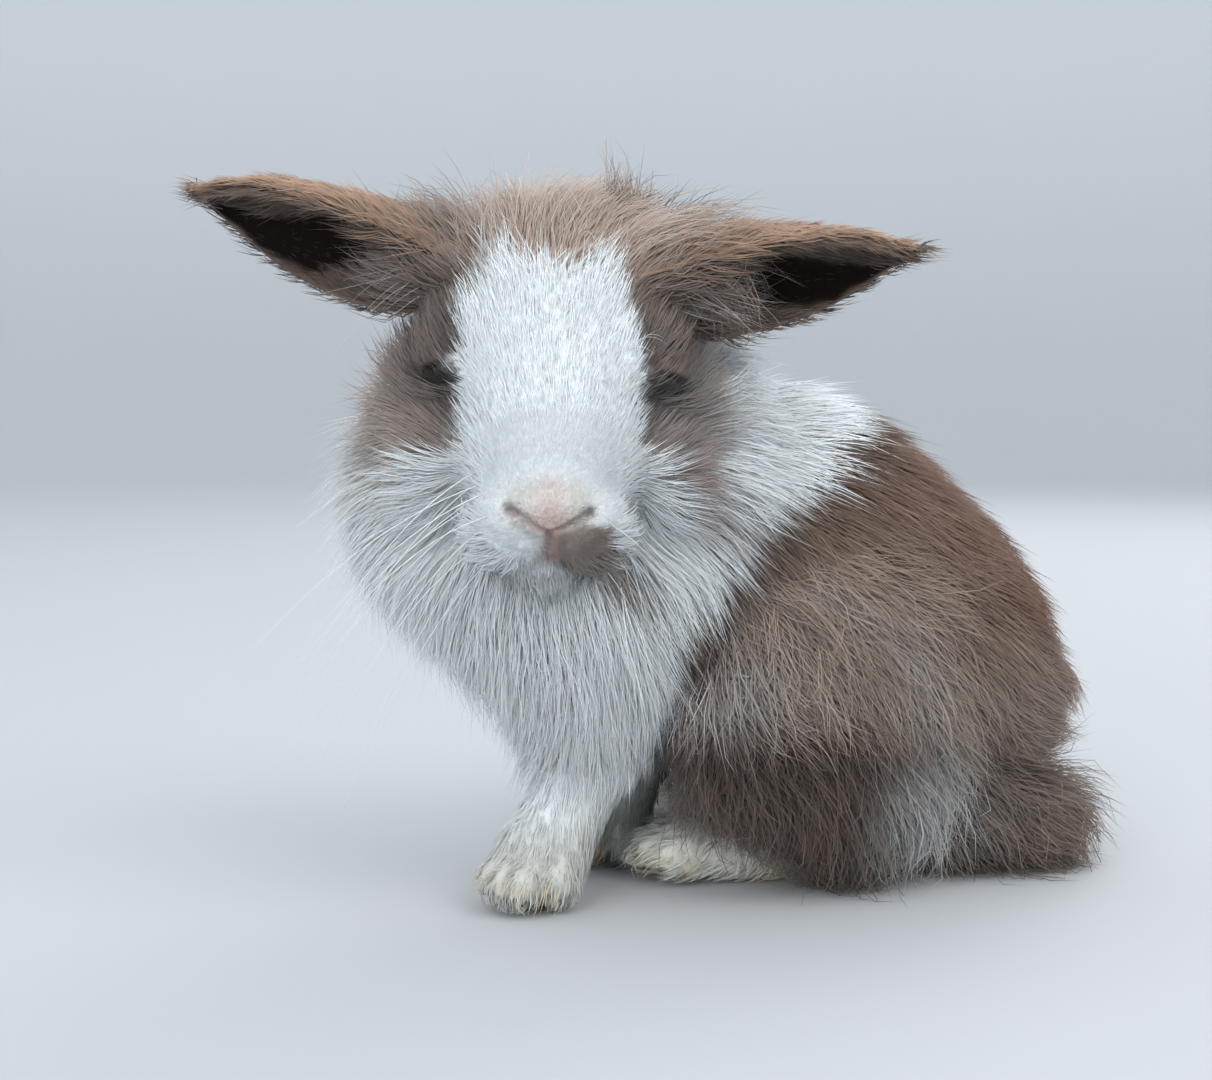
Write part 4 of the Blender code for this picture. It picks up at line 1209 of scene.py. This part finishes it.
def ear_sheet(root, tip, narrower):
    """A leaf-shaped cup as rows across it: middle points, outward normals and (along, across) of each.

    Across the ear the sheet is an arc of radius half / sin(curl). The curl opens from 118 degrees at
    the root to 70 at the tip, and the half width tapers to the tip as 1 - taper^2.4.
    """
    rows, columns = 72, 44
    along = unit(tip - root)
    inside = square_to(EAR_OPENING, along)
    chord = np.cross(along, inside)
    t = np.linspace(EAR_START, 1, rows)[:, None, None]
    s = np.linspace(-1, 1, columns)[None, :, None]
    widest = 0.42
    taper = np.maximum(0, t - widest) / (1 - widest)
    fill = 1 - 0.5 * (np.maximum(0, widest - t) / widest) ** 2
    half = np.maximum((EAR_HALF_WIDTH - narrower) * fill * (1 - taper**2.4), 0.7) * MM
    curl = np.radians(118 - 48 * t)
    turn = curl * s
    reach = half / np.maximum(np.sin(np.minimum(curl, math.pi / 2)), 0.1)
    wave = 0.35 * MM * np.sin(9 * t + 2.2 * s) * (1 - s * s)
    middle = root + along * (np.linalg.norm(tip - root) * t)
    out = chord * np.sin(turn) - inside * np.cos(turn)
    points = middle + chord * (reach * np.sin(turn)) + inside * (reach * (0.45 - np.cos(turn))) + out * wave
    return points, out, *(np.broadcast_to(place, (rows, columns, 1))[..., 0] for place in (t, s))


# Where the ear's cup starts, as a share of its length before its root
EAR_START = -0.1
# Edges of the opening in the ear, painted dark as the shade in it, from -1 at the lower rim to 1 at the
# upper, along the ear
FLAP_EDGE = ((0.3, 0.35), (0.42, 0.12), (0.5, 0.05), (0.63, -0.12), (0.75, -0.27), (0.88, -0.5), (1, -0.7))
LOWER_EDGE = ((0.22, 0.0), (0.36, -0.35), (0.42, -0.55), (0.5, -0.78), (0.58, -0.88), (0.68, -0.95), (1, -1))


def ear_marks(shape, t, top, inner, folded, lower):
    """Painted shade in the cup, giving way to umber at its root and lower rim; russet on the flap over it,
    darkened by painted shade towards the cup; and umber with a russet upper rim on the back.
    """
    # The cup: painted shade, turning to umber fur near the root and along the lower rim
    deep = mixed(EAR_CUP_SHADE, 0.9 * UMBER, np.maximum(ease(0.4, 0.26, t), lower))
    # The flap: russet fur, with painted shade darkening it towards the cup below
    flap = mixed(0.65 * UMBER, RUSSET, ease(0.1, 1.0, top + 0.2 * ripple(shape, 7, 53)))
    outer = mixed(UMBER, RUSSET, ease(0.0, 0.7, top) + 0.1 * ripple(shape, 9, 51))
    outer = mixed(outer, TAN, 0.4 * ease(-0.5, -0.9, top))
    outer = mixed(outer, UMBER, 0.6 * ease(0.4, 0.1, t) * ease(1.0, 0.2, top))
    return mixed(outer, mixed(deep, flap, folded), inner)


def ear_values(t, s, top, inner, folded, lower):
    """The coat's values and density over an ear: long at its rim, tip and root, sparse deep in the cup."""
    rim, near_root, at_root = ease(0.75, 1.0, np.abs(s)), ease(0.6, 0.1, t), ease(0.38, 0.16, t)
    outside = 5.0 + 1.5 * rim + 4.5 * near_root * (0.4 + 0.6 * ease(0, 1, top))
    outside = outside + 3.0 * ease(0.8, 1, t) * ease(-0.2, 0.6, top)
    inside = 1.5 + 5.5 * folded + 2.0 * lower + 1.0 * rim + 8.0 * at_root
    furred = np.maximum(folded, 0.8 * lower)
    stand_inside = 0.18 + 0.16 * furred + 0.15 * ease(0.5, 0.1, t)
    stand = np.where(inner > 0, stand_inside, 0.2 + 0.1 * rim + 0.25 * near_root)
    values = np.ones((len(t), len(VALUE_NAMES)))
    values[:, LENGTH] = np.where(inner > 0, inside, outside)
    values[:, WIDTH], values[:, FRIZZ], values[:, CLUMP] = 0.19, 0.08, 0.45
    values[:, ROOT_STAND], values[:, TIP_STAND] = stand, 0.5 * stand
    density = np.where(inner > 0, 0.2 + 2.2 * furred + 0.6 * at_root, 0.9 + 0.5 * ease(0, 1, top))
    return values, density * ease(0.06, 0.16, t)


def build_ear(side):
    """The ear's own skin: a thin cup, closed at its rim, tip and root, and painted dark inside as the shade
    in its cup.
    """
    root, tip = EARS[side]
    points, out, t, s = ear_sheet(root, tip, 0.8)
    wall = 0.55 * MM * (1 - 0.35 * s**6)[..., None]
    rings = np.concatenate([points + out * wall, (points - out * wall)[:, ::-1]], axis=1)
    along = unit(tip - root)
    ends = rings[0].mean(axis=0) - along * 2 * MM, rings[-1].mean(axis=0) + along * MM
    shape, triangles = closed_rings(rings, *ends)
    obj = mesh_object("ear_cup_" + side, shape, triangles)
    unwrap(obj)
    inner = np.concatenate([[0], np.tile(np.repeat((0, 1), s.shape[1]), len(t)), [0]])
    t = np.concatenate([[EAR_START], np.concatenate([t, t], axis=1).ravel(), [1]])
    s = np.concatenate([[0], np.concatenate([s, s[:, ::-1]], axis=1).ravel(), [0]])
    top = s * np.sign(np.cross(along, unit(EAR_OPENING))[2])
    uneven = 0.07 * ripple(shape, 9, 52)
    folded = ease(-0.1, 0.12, top + uneven - read_off(FLAP_EDGE, t))
    lower = ease(0.1, -0.1, top + uneven - read_off(LOWER_EDGE, t))
    colour = ear_marks(shape, t, top, inner, folded, lower)
    shape = coordinates(obj.data)
    waves = np.stack([ripple(shape, 16, 61 + k) for k in range(3)], axis=1)
    flow = np.tile(along, (len(shape), 1)) + 0.25 * waves - UP * (0.35 * inner * folded)[:, None]
    flow = square_to(flow, coordinates(obj.data, normals=True))
    keep_ground("ear_" + side, obj, shape, colour, flow, *ear_values(t, s, top, inner, folded, lower))
    return obj


def build_eye(side, way):
    """A ball with a cornea: radius = R + 0.3 exp(-(angle / 0.55)^2), and its angle from the axis stored."""
    centre, along, across, out = eye_frame(way)
    columns = 64
    turn = np.linspace(0, math.pi, 50)[1:-1][:, None, None]
    angle = circle(columns)
    radius = (EYE_RADIUS + CORNEA_BULGE * bell(turn, 0.55)) * MM
    ring = np.cos(angle) * along + np.sin(angle) * across
    rings = centre + radius * (np.cos(turn) * out + np.sin(turn) * ring)
    ends = centre + out * (EYE_RADIUS + CORNEA_BULGE) * MM, centre - out * EYE_RADIUS * MM
    points, triangles = closed_rings(rings, *ends)
    obj = mesh_object("eyeball_" + side, points, triangles)
    layer = obj.data.attributes.new("turn", "FLOAT", "POINT")
    turns = np.concatenate([[0], np.repeat(turn.ravel(), columns), [math.pi]])
    layer.data.foreach_set("value", turns.astype(np.float32))
    return obj


def curved_hair(start, way, bend, length, radius, count=14, around=6):
    """A tapering closed thread: point = start + way x + bend x^2, with radius falling as (1 - x)^0.7."""
    x = np.linspace(0, 1, count)[:-1]
    line = start + (way * x[:, None] + bend * x[:, None] ** 2) * length
    tangent = unit(way + 2 * bend * x[:, None])
    side = unit(np.cross(tangent, UP + 0.01))
    rise = np.cross(side, tangent)
    angle = circle(around)
    size = (radius * (1 - x) ** 0.7)[:, None, None]
    rings = line[:, None] + size * (np.cos(angle) * side[:, None] + np.sin(angle) * rise[:, None])
    return closed_rings(rings, start, start + (way + bend) * length)


WHISKER_ROWS = 4
BROW_THREADS = 4
EAR_THREADS = 10
CROWN_THREADS = 12


def whisker_forms(settings):
    """Whiskers in rows on both pads, with a few over the eyes and long loose hairs on the crown."""
    draw = np.random.default_rng(SEED + 90)
    made = []

    def on_skin(*place):
        return nearest(GROUNDS["skin"].tree, [head_point(*place)])[0][0]

    def thread(start, way, bend, length, radius):
        made.append(curved_hair(start, way, bend, length * MM, radius * MM))

    for _, side in SIDES:
        for k in range(settings.whiskers if side < 0 else settings.whiskers // 3):
            column, row = divmod(k, WHISKER_ROWS)
            start = on_skin(31 - 3.2 * column, side * (8 + 1.6 * column), -5.5 - 3.0 * row)
            sideways = side * draw.uniform(0.6, 0.85)
            upward = -0.35 - 0.25 * row + draw.uniform(-0.15, 0.15)
            way = unit(np.array((-0.1 + 0.1 * column, sideways, upward)) @ HEAD_AXES)
            bend = np.array((0, 0.1, -1)) * draw.uniform(0.25, 0.6)
            length = settings.whisker_length * draw.uniform(0.6, 1.0) * (1 if side < 0 else 0.3)
            thread(start, unit(way + np.array((0, -0.35, 0))), bend, length, 0.11)
        for k in range(BROW_THREADS):
            way = unit(np.array((0.3, side * 0.5, 0.8)) @ HEAD_AXES)
            bend = UP * draw.uniform(-0.5, 0.2)
            thread(on_skin(3 - k, side * (13 + k), 11), way, bend, draw.uniform(8, 12), 0.05)
    for root, tip in EARS.values():
        along = unit(tip - root)
        for _ in range(EAR_THREADS):
            start = root + along * draw.uniform(8, 15) * MM + UP * draw.uniform(-2, 6) * MM
            start = start + EAR_OPENING * 9 * MM
            way = unit(along + UP * draw.uniform(-0.75, 0.05) + EAR_OPENING * 0.3)
            bend = draw.normal(size=3) * 0.25 - UP * 0.2
            thread(start, way, bend, draw.uniform(9, 16), 0.04)
    for _ in range(CROWN_THREADS):
        start = on_skin(-22 + draw.uniform(-6, 6), draw.uniform(-12, 8), 24)
        way = unit(np.array((draw.uniform(-0.2, 0.6), draw.uniform(-0.9, 0.5), 1.0)) @ HEAD_AXES)
        bend = draw.normal(size=3) * 0.3
        thread(start, way, bend, draw.uniform(10, 15), 0.07)
    return made


def claw_forms():
    """Small curved claws, one at the end of each toe: a cone bent down along part of a turn."""
    length, drop, bent = 3.4 * MM, 2.2 * MM, 1.35
    feet = [(placed(*paw), np.array(heading), 6.5, 4.9, 5.4) for _, _, paw, heading in FORELEGS.values()]
    for heel, toes in HIND_FEET.values():
        heading = unit((np.array(toes) - np.array(heel)) * (1.0, 1.0, 0))
        feet.append((placed(*toes), heading, 4.5, 4.2, 6.2))
    made = []
    for at, heading, ahead, spread, reach in feet:
        heading = unit(heading.astype(float))
        side = np.array((-heading[1], heading[0], 0))
        for place in TOE_PLACES:
            back = OUTER_TOES_BACK * (abs(place) - 0.5) * spread
            start = at + (heading * (ahead - back + reach - 5.2) + side * place * spread) * MM
            start[2] = 2.8 * MM
            x = np.linspace(0, 1, 9)[:-1]
            sunk = (drop * (1 - np.cos(bent * x)))[:, None]
            line = start + heading * (length * np.sin(bent * x))[:, None] - UP * sunk
            tangent = unit(np.gradient(line, axis=0))
            rise = np.cross(side, tangent)
            angle = circle(8)
            size = (0.6 * MM * (1 - x) ** 0.8)[:, None, None]
            rings = line[:, None] + size * (np.cos(angle) * side * 0.8 + np.sin(angle) * rise[:, None])
            end = start + heading * length * math.sin(bent) - UP * drop * (1 - math.cos(bent))
            made.append(closed_rings(rings, start, end))
    return made


def new_material(name):
    made = bpy.data.materials.new(name)
    made.use_nodes = True
    return made, made.node_tree, made.node_tree.nodes["Principled BSDF"]


def set_inputs(node, **values):
    """Sets a node's inputs, named with _ for a space."""
    for name, value in values.items():
        node.inputs[name.replace("_", " ")].default_value = value


def add_node(tree, kind, *links, **inputs):
    """A new node with some of its inputs set, and others linked as pairs of output and input."""
    node = tree.nodes.new(kind)
    set_inputs(node, **inputs)
    for output, name in links:
        tree.links.new(output, node.inputs[name])
    return node


def stored(tree, name):
    """The values stored on the mesh under a name."""
    node = tree.nodes.new("ShaderNodeAttribute")
    node.attribute_name = name
    return node.outputs


def object_place(tree):
    return tree.nodes.new("ShaderNodeTexCoord").outputs["Object"]


def object_noise(tree, scale, detail):
    """Noise on the object's own coordinates."""
    noise = add_node(tree, "ShaderNodeTexNoise", (object_place(tree), "Vector"), Scale=scale, Detail=detail)
    return noise.outputs["Fac"]


def map_range(tree, value, steps="LINEAR", **limits):
    node = add_node(tree, "ShaderNodeMapRange", (value, "Value"), **limits)
    node.interpolation_type = steps
    return node


def scaled_colour(tree, colour, factor):
    """A colour times a value."""
    scale = tree.nodes.new("ShaderNodeVectorMath")
    scale.operation = "SCALE"
    tree.links.new(colour, scale.inputs[0])
    tree.links.new(factor, scale.inputs["Scale"])
    return scale.outputs[0]


def combined(tree, operation, first, second):
    """Two values added or multiplied."""
    node = tree.nodes.new("ShaderNodeMath")
    node.operation = operation
    tree.links.new(first, node.inputs[0])
    tree.links.new(second, node.inputs[1])
    return node.outputs[0]


def mottled(tree, colour, deepest, scale):
    """The colour, darkened by noise down to a share of itself."""
    ramp = add_node(tree, "ShaderNodeValToRGB", (object_noise(tree, scale, 2.0), "Fac"))
    low, high = ramp.color_ramp.elements
    low.color = (*[c * deepest for c in colour], 1)
    high.color = (*colour, 1)
    return ramp.outputs["Color"]


def hair_shade_group():
    """Colour and roughness along a hair: deeper at the root, paler at the tip, with fine flecks."""
    name = "Hair Shade"
    if name in bpy.data.node_groups:
        return bpy.data.node_groups[name]
    group = bpy.data.node_groups.new(name, "ShaderNodeTree")
    inputs = {
        "Colour": (0.8, 0.8, 0.8, 1),
        "Along": 0.5,
        "Root Depth": 0.6,
        "Tip Light": 1.1,
        "Fleck Scale": 900.0,
        "Roughness": 0.6,
    }
    for label, value in inputs.items():
        kind = "NodeSocketColor" if label == "Colour" else "NodeSocketFloat"
        group.interface.new_socket(label, in_out="INPUT", socket_type=kind).default_value = value
    for label, kind in (("Colour", "NodeSocketColor"), ("Roughness", "NodeSocketFloat")):
        group.interface.new_socket(label, in_out="OUTPUT", socket_type=kind)
    start = group.nodes.new("NodeGroupInput").outputs
    end = group.nodes.new("NodeGroupOutput").inputs
    links = (object_place(group), "Vector"), (start["Fleck Scale"], "Scale")
    fleck = add_node(group, "ShaderNodeTexNoise", *links, Detail=2.0).outputs["Fac"]
    shade = map_range(group, start["Along"], "SMOOTHSTEP", From_Max=0.7)
    group.links.new(start["Root Depth"], shade.inputs["To Min"])
    group.links.new(start["Tip Light"], shade.inputs["To Max"])
    vary = map_range(group, fleck, To_Min=0.88, To_Max=1.12)
    times = combined(group, "MULTIPLY", shade.outputs["Result"], vary.outputs["Result"])
    group.links.new(scaled_colour(group, start["Colour"], times), end["Colour"])
    rough = map_range(group, fleck, To_Min=-0.08, To_Max=0.08)
    group.links.new(combined(group, "ADD", rough.outputs["Result"], start["Roughness"]), end["Roughness"])
    return group


def coat_material(name):
    """Fur: the stored colour of each hair through the Hair Shade group. Made once for each fur."""
    if name in bpy.data.materials:
        return bpy.data.materials[name]
    root_depth, tip_light, roughness, sheen = FURS[name]
    made, tree, shader = new_material(name)
    coat = stored(tree, "coat")
    shade = tree.nodes.new("ShaderNodeGroup")
    shade.node_tree = hair_shade_group()
    set_inputs(shade, Root_Depth=root_depth, Tip_Light=tip_light, Roughness=roughness)
    tree.links.new(coat["Color"], shade.inputs["Colour"])
    tree.links.new(coat["Alpha"], shade.inputs["Along"])
    tree.links.new(shade.outputs["Colour"], shader.inputs["Base Color"])
    tree.links.new(shade.outputs["Roughness"], shader.inputs["Roughness"])
    set_inputs(shader, Specular_IOR_Level=0.35, Sheen_Weight=sheen, Sheen_Roughness=0.5)
    return made


def skin_material(name):
    """Skin under fur: the coat's colour, with the short nap of the fur as fine bump."""
    made, tree, shader = new_material(name)
    nap = object_noise(tree, 2600.0, 3.0)
    vary = map_range(tree, nap, To_Min=0.9, To_Max=1.03)
    colour = scaled_colour(tree, stored(tree, "coat")["Color"], vary.outputs["Result"])
    tree.links.new(colour, shader.inputs["Base Color"])
    bump = add_node(tree, "ShaderNodeBump", (nap, "Height"), Strength=0.5, Distance=0.0003)
    tree.links.new(bump.outputs["Normal"], shader.inputs["Normal"])
    set_inputs(shader, Roughness=0.85, Specular_IOR_Level=0.15)
    return made


def eye_material(settings):
    """Dark brown iris round a black pupil under a wet, glossy cornea."""
    made, tree, shader = new_material("wet_eye")
    black = (0.001, 0.001, 0.001)
    iris = tuple(settings.iris)
    rim = [c * 0.5 for c in iris]
    ramp = add_node(tree, "ShaderNodeValToRGB", (stored(tree, "turn")["Fac"], "Fac"))
    stops = ramp.color_ramp.elements
    stops[0].position, stops[0].color = 0.0, (*black, 1)
    stops[1].position, stops[1].color = 0.30, (*black, 1)
    for position, colour in ((0.34, iris), (0.62, rim), (0.72, (0.02, 0.012, 0.01))):
        stops.new(position).color = (*colour, 1)
    tree.links.new(ramp.outputs["Color"], shader.inputs["Base Color"])
    set_inputs(shader, Roughness=0.06, Coat_Weight=1.0, Coat_Roughness=0.02)
    return made


def horn_material(name, colour, roughness):
    """Whiskers and claws: one pale horn colour with faint darker flecks."""
    made, tree, shader = new_material(name)
    tree.links.new(mottled(tree, colour, 0.82, 500.0), shader.inputs["Base Color"])
    set_inputs(shader, Roughness=roughness)
    return made


def stage_material(colour):
    """A plain pale floor with a very faint mottle, a little paler where it turns up into the wall."""
    made, tree, shader = new_material("pale_floor")
    parts = tree.nodes.new("ShaderNodeSeparateXYZ")
    tree.links.new(object_place(tree), parts.inputs[0])
    wall = map_range(tree, parts.outputs["Z"], "SMOOTHSTEP", From_Max=0.7, To_Min=1.0, To_Max=1.3)
    paler = scaled_colour(tree, mottled(tree, colour, 0.98, 6.0), wall.outputs["Result"])
    tree.links.new(paler, shader.inputs["Base Color"])
    set_inputs(shader, Roughness=0.8)
    return made


class RabbitSkin(bpy.types.PropertyGroup):
    voxel: FloatProperty(
        name="Skin Grain", description="Size of the skin's faces in millimetres",
        default=1.08, min=0.6, max=3,
    )


class RabbitCoat(bpy.types.PropertyGroup):
    fullness: FloatProperty(
        name="Fullness", description="Share of the full number of tufts",
        default=1.0, min=0.05, max=1.0,
    )
    hairs: IntProperty(
        name="Hairs per Tuft", description="Closed hairs in each tuft",
        default=4, min=1, max=8,
    )
    sag: FloatProperty(
        name="Sag", description="How strongly long hair bends down towards its tip",
        default=0.12, min=0, max=1,
    )


class RabbitFace(bpy.types.PropertyGroup):
    iris: FloatVectorProperty(
        name="Iris", description="Colour of the eyes",
        subtype="COLOR", default=(0.05, 0.024, 0.012), min=0, max=1,
    )
    whiskers: IntProperty(
        name="Whiskers", description="Whiskers on the right side, three times those on the left",
        default=14, min=0, max=30,
    )
    whisker_length: FloatProperty(
        name="Whisker Length", description="Length of the longest whiskers in millimetres",
        default=48, min=5, max=80,
    )


class RabbitStage(bpy.types.PropertyGroup):
    floor: FloatVectorProperty(
        name="Floor", description="Colour of the floor",
        subtype="COLOR", default=(0.52, 0.53, 0.54), min=0, max=1,
    )
    key: FloatProperty(
        name="Key Light", description="Power of the main light in watts",
        default=5.5, min=0, subtype="POWER",
    )
    fill: FloatProperty(
        name="Fill Light", description="Power of the second light in watts",
        default=8.0, min=0, subtype="POWER",
    )
    sky: FloatProperty(
        name="Sky", description="Strength of the light from all round",
        default=1.18, min=0,
    )


FLESH = (
    "head", "crown", "neck", "torso", "tail", "thigh_left", "thigh_right",
    "foreleg_left", "foreleg_right", "hind_foot_left", "hind_foot_right",
)


class RABBIT_OT_skin(bpy.types.Operator):
    """One skin over the head, body, legs and tail"""

    bl_idname = "rabbit.skin"
    bl_label = "Skin"

    def execute(self, context):
        obj = build_skin(context.scene.rabbit_skin.voxel)
        finish_piece(obj, skin_material("short_nap"), "white_coat", *FLESH)
        return {"FINISHED"}


class RABBIT_OT_ears(bpy.types.Operator):
    """The two ears, thin furred cups held out to the sides"""

    bl_idname = "rabbit.ears"
    bl_label = "Ears"

    def execute(self, context):
        for side in EARS:
            finish_piece(build_ear(side), skin_material("ear_nap_" + side), "ear_coat", "ear_" + side)
        return {"FINISHED"}


class RABBIT_OT_eyes(bpy.types.Operator):
    """The two dark eyes behind their nearly closed lids"""

    bl_idname = "rabbit.eyes"
    bl_label = "Eyes"

    def execute(self, context):
        material = eye_material(context.scene.rabbit_face)
        for side, way in SIDES:
            finish_piece(build_eye(side, way), material, "eye", "eye_" + side)
        return {"FINISHED"}


def skin_weight(kind):
    """Where one kind of coat grows on the skin, and how densely."""
    return GROUNDS["skin"].density * share(GROUNDS["skin"].shares, kind)


class RABBIT_OT_head_coat(bpy.types.Operator):
    """Short fur of the face and the wool on the crown"""

    bl_idname = "rabbit.head_coat"
    bl_label = "Head Coat"

    def execute(self, context):
        face = skin_weight("face")
        velvet = ease(0.62, 0.5, length_factor(GROUNDS["skin"].points))
        grow(context, "coat_velvet", face * velvet * 2.5)
        grow(context, "coat_face", face * (1 - velvet))
        grow(context, "coat_crown", skin_weight("crown"))
        return {"FINISHED"}


class RABBIT_OT_mane(bpy.types.Operator):
    """The long mane round the neck and over the chest"""

    bl_idname = "rabbit.mane"
    bl_label = "Mane"

    def execute(self, context):
        left = in_head(GROUNDS["skin"].points)[1] >= 0
        grow(context, "coat_mane_left", skin_weight("mane") * left)
        grow(context, "coat_mane_right", skin_weight("mane") * ~left)
        return {"FINISHED"}


class RABBIT_OT_body_coat(bpy.types.Operator):
    """Long hair of the back, the woolly haunches and the tail"""

    bl_idname = "rabbit.body_coat"
    bl_label = "Body Coat"

    def execute(self, context):
        left = in_body(GROUNDS["skin"].points)[1] >= 0
        grow(context, "coat_back_left", skin_weight("back") * left)
        grow(context, "coat_back_right", skin_weight("back") * ~left)
        for kind in ("thigh_left", "thigh_right", "tail"):
            grow(context, "coat_" + kind, skin_weight(kind))
        return {"FINISHED"}


class RABBIT_OT_leg_coat(bpy.types.Operator):
    """Short dense fur of the forelegs and hind feet"""

    bl_idname = "rabbit.leg_coat"
    bl_label = "Leg Coat"

    def execute(self, context):
        grow(context, "coat_forelegs", skin_weight("foreleg"))
        grow(context, "coat_hind_feet", skin_weight("foot"))
        return {"FINISHED"}


class RABBIT_OT_ear_coat(bpy.types.Operator):
    """Fur over the ears, longer along their upper rims and across their roots"""

    bl_idname = "rabbit.ear_coat"
    bl_label = "Ear Coat"

    def execute(self, context):
        for side in EARS:
            ground = "ear_" + side
            grow(context, "coat_" + ground, GROUNDS[ground].density, ground)
        return {"FINISHED"}


class RABBIT_OT_whiskers(bpy.types.Operator):
    """Whiskers, brow hairs and a few long loose hairs on the crown"""

    bl_idname = "rabbit.whiskers"
    bl_label = "Whiskers"

    def execute(self, context):
        obj = mesh_object("whiskers", *joined(whisker_forms(context.scene.rabbit_face)))
        finish_piece(obj, horn_material("whisker", (0.86, 0.86, 0.84), 0.35), "white_coat")
        return {"FINISHED"}


class RABBIT_OT_claws(bpy.types.Operator):
    """Small curved claws, mostly hidden by the fur of the toes"""

    bl_idname = "rabbit.claws"
    bl_label = "Claws"

    def execute(self, context):
        obj = mesh_object("claws", *joined(claw_forms()))
        finish_piece(obj, horn_material("claw", (0.62, 0.5, 0.4), 0.4), "white_coat")
        return {"FINISHED"}


def area_light(name, place, target, size, power, colour):
    light = bpy.data.lights.new(name, "AREA")
    light.shape = "DISK"
    light.size = size
    light.energy = power
    light.color = colour
    obj = new_object(name, light)
    obj.location = place
    obj.rotation_euler = (Vector(target) - Vector(place)).to_track_quat("-Z", "Y").to_euler()


def backdrop():
    """A round floor that turns up into a wall all round, as one smooth surface: a wide shallow bowl."""
    radius, bend, height, around = 1.6, 1.1, 1.7, 96
    flat = np.linspace(0.02, radius, 10)
    turn = np.radians(np.arange(6, 91, 6))
    reach = np.concatenate([flat, radius + bend * np.sin(turn), [radius + bend]])
    rise = np.concatenate([0 * flat, bend * (1 - np.cos(turn)), [height]])
    angle = np.linspace(0, 2 * math.pi, around, endpoint=False)
    across, deep = np.outer(reach, np.cos(angle)), np.outer(reach, np.sin(angle))
    rings = np.stack([across, deep, np.outer(rise, np.ones(around))], axis=-1).reshape(-1, 3)
    quads = ring_sides(len(reach), around)[:, [0, 3, 2, 1]]
    i = np.arange(around)
    disc = np.stack([0 * i + len(rings), i, (i + 1) % around], axis=-1)
    points = np.concatenate([rings, [[0, 0, 0]]])
    return mesh_object("floor_sweep", points, np.concatenate([triangulated(quads), disc]))


class RABBIT_OT_stage(bpy.types.Operator):
    """Plain pale floor, soft lights and the camera"""

    bl_idname = "rabbit.stage"
    bl_label = "Stage"

    def execute(self, context):
        scene = context.scene
        settings = scene.rabbit_stage
        floor = backdrop()
        floor.data.materials.append(stage_material(settings.floor))
        target = (0, 0, 0.08)
        area_light("key", (0.65, -0.65, 0.95), target, 0.9, settings.key, (1.0, 0.99, 0.97))
        area_light("fill", (-0.6, -1.15, 0.62), target, 1.0, settings.fill, (0.96, 0.98, 1.0))
        area_light("rim", (0.5, 0.95, 0.8), target, 0.7, 0.5 * settings.fill, (1.0, 1.0, 1.0))
        world = bpy.data.worlds.new("soft sky")
        scene.world = world
        world.use_nodes = True
        sky = world.node_tree.nodes["Background"]
        sky.inputs["Color"].default_value = (0.86, 0.93, 1.0, 1)
        sky.inputs["Strength"].default_value = settings.sky
        camera = bpy.data.cameras.new("camera")
        camera.sensor_fit = "HORIZONTAL"
        camera.sensor_width = 36
        camera.lens = camera.sensor_width * FOCAL_PIXELS / IMAGE_WIDTH
        camera.clip_start = 0.01
        camera.clip_end = 50
        viewer = new_object("camera", camera)
        viewer.location = CAMERA_PLACE + SHIFT
        viewer.rotation_euler = (math.pi / 2 - math.atan(LOOK_DOWN_PIXELS / FOCAL_PIXELS), 0, 0)
        scene.camera = viewer
        scene.view_settings.view_transform = "Standard"
        return {"FINISHED"}


OPERATORS = (
    RABBIT_OT_stage,
    RABBIT_OT_skin,
    RABBIT_OT_ears,
    RABBIT_OT_eyes,
    RABBIT_OT_head_coat,
    RABBIT_OT_mane,
    RABBIT_OT_body_coat,
    RABBIT_OT_leg_coat,
    RABBIT_OT_ear_coat,
    RABBIT_OT_whiskers,
    RABBIT_OT_claws,
)
SETTINGS = {
    "rabbit_skin": RabbitSkin,
    "rabbit_coat": RabbitCoat,
    "rabbit_face": RabbitFace,
    "rabbit_stage": RabbitStage,
}


class RABBIT_PT_panel(bpy.types.Panel):
    """Lists the rabbit's settings and the operators that build it"""

    bl_label = "Rabbit"
    bl_idname = "RABBIT_PT_panel"
    bl_space_type = "VIEW_3D"
    bl_region_type = "UI"
    bl_category = "Rabbit"

    def draw(self, context):
        for name, kind in SETTINGS.items():
            box = self.layout.box()
            for field in kind.__annotations__:
                box.prop(getattr(context.scene, name), field)
        for operator in OPERATORS:
            self.layout.operator(operator.bl_idname)


def register():
    for kind in (*SETTINGS.values(), *OPERATORS, RABBIT_PT_panel):
        bpy.utils.register_class(kind)
    for name, kind in SETTINGS.items():
        setattr(bpy.types.Scene, name, PointerProperty(type=kind))


def unregister():
    for name in SETTINGS:
        delattr(bpy.types.Scene, name)
    for kind in reversed((*SETTINGS.values(), *OPERATORS, RABBIT_PT_panel)):
        bpy.utils.unregister_class(kind)


def main():
    register()
    for operator in OPERATORS:
        _, action = operator.bl_idname.split(".")
        getattr(bpy.ops.rabbit, action)()


if __name__ == "__main__":
    main()
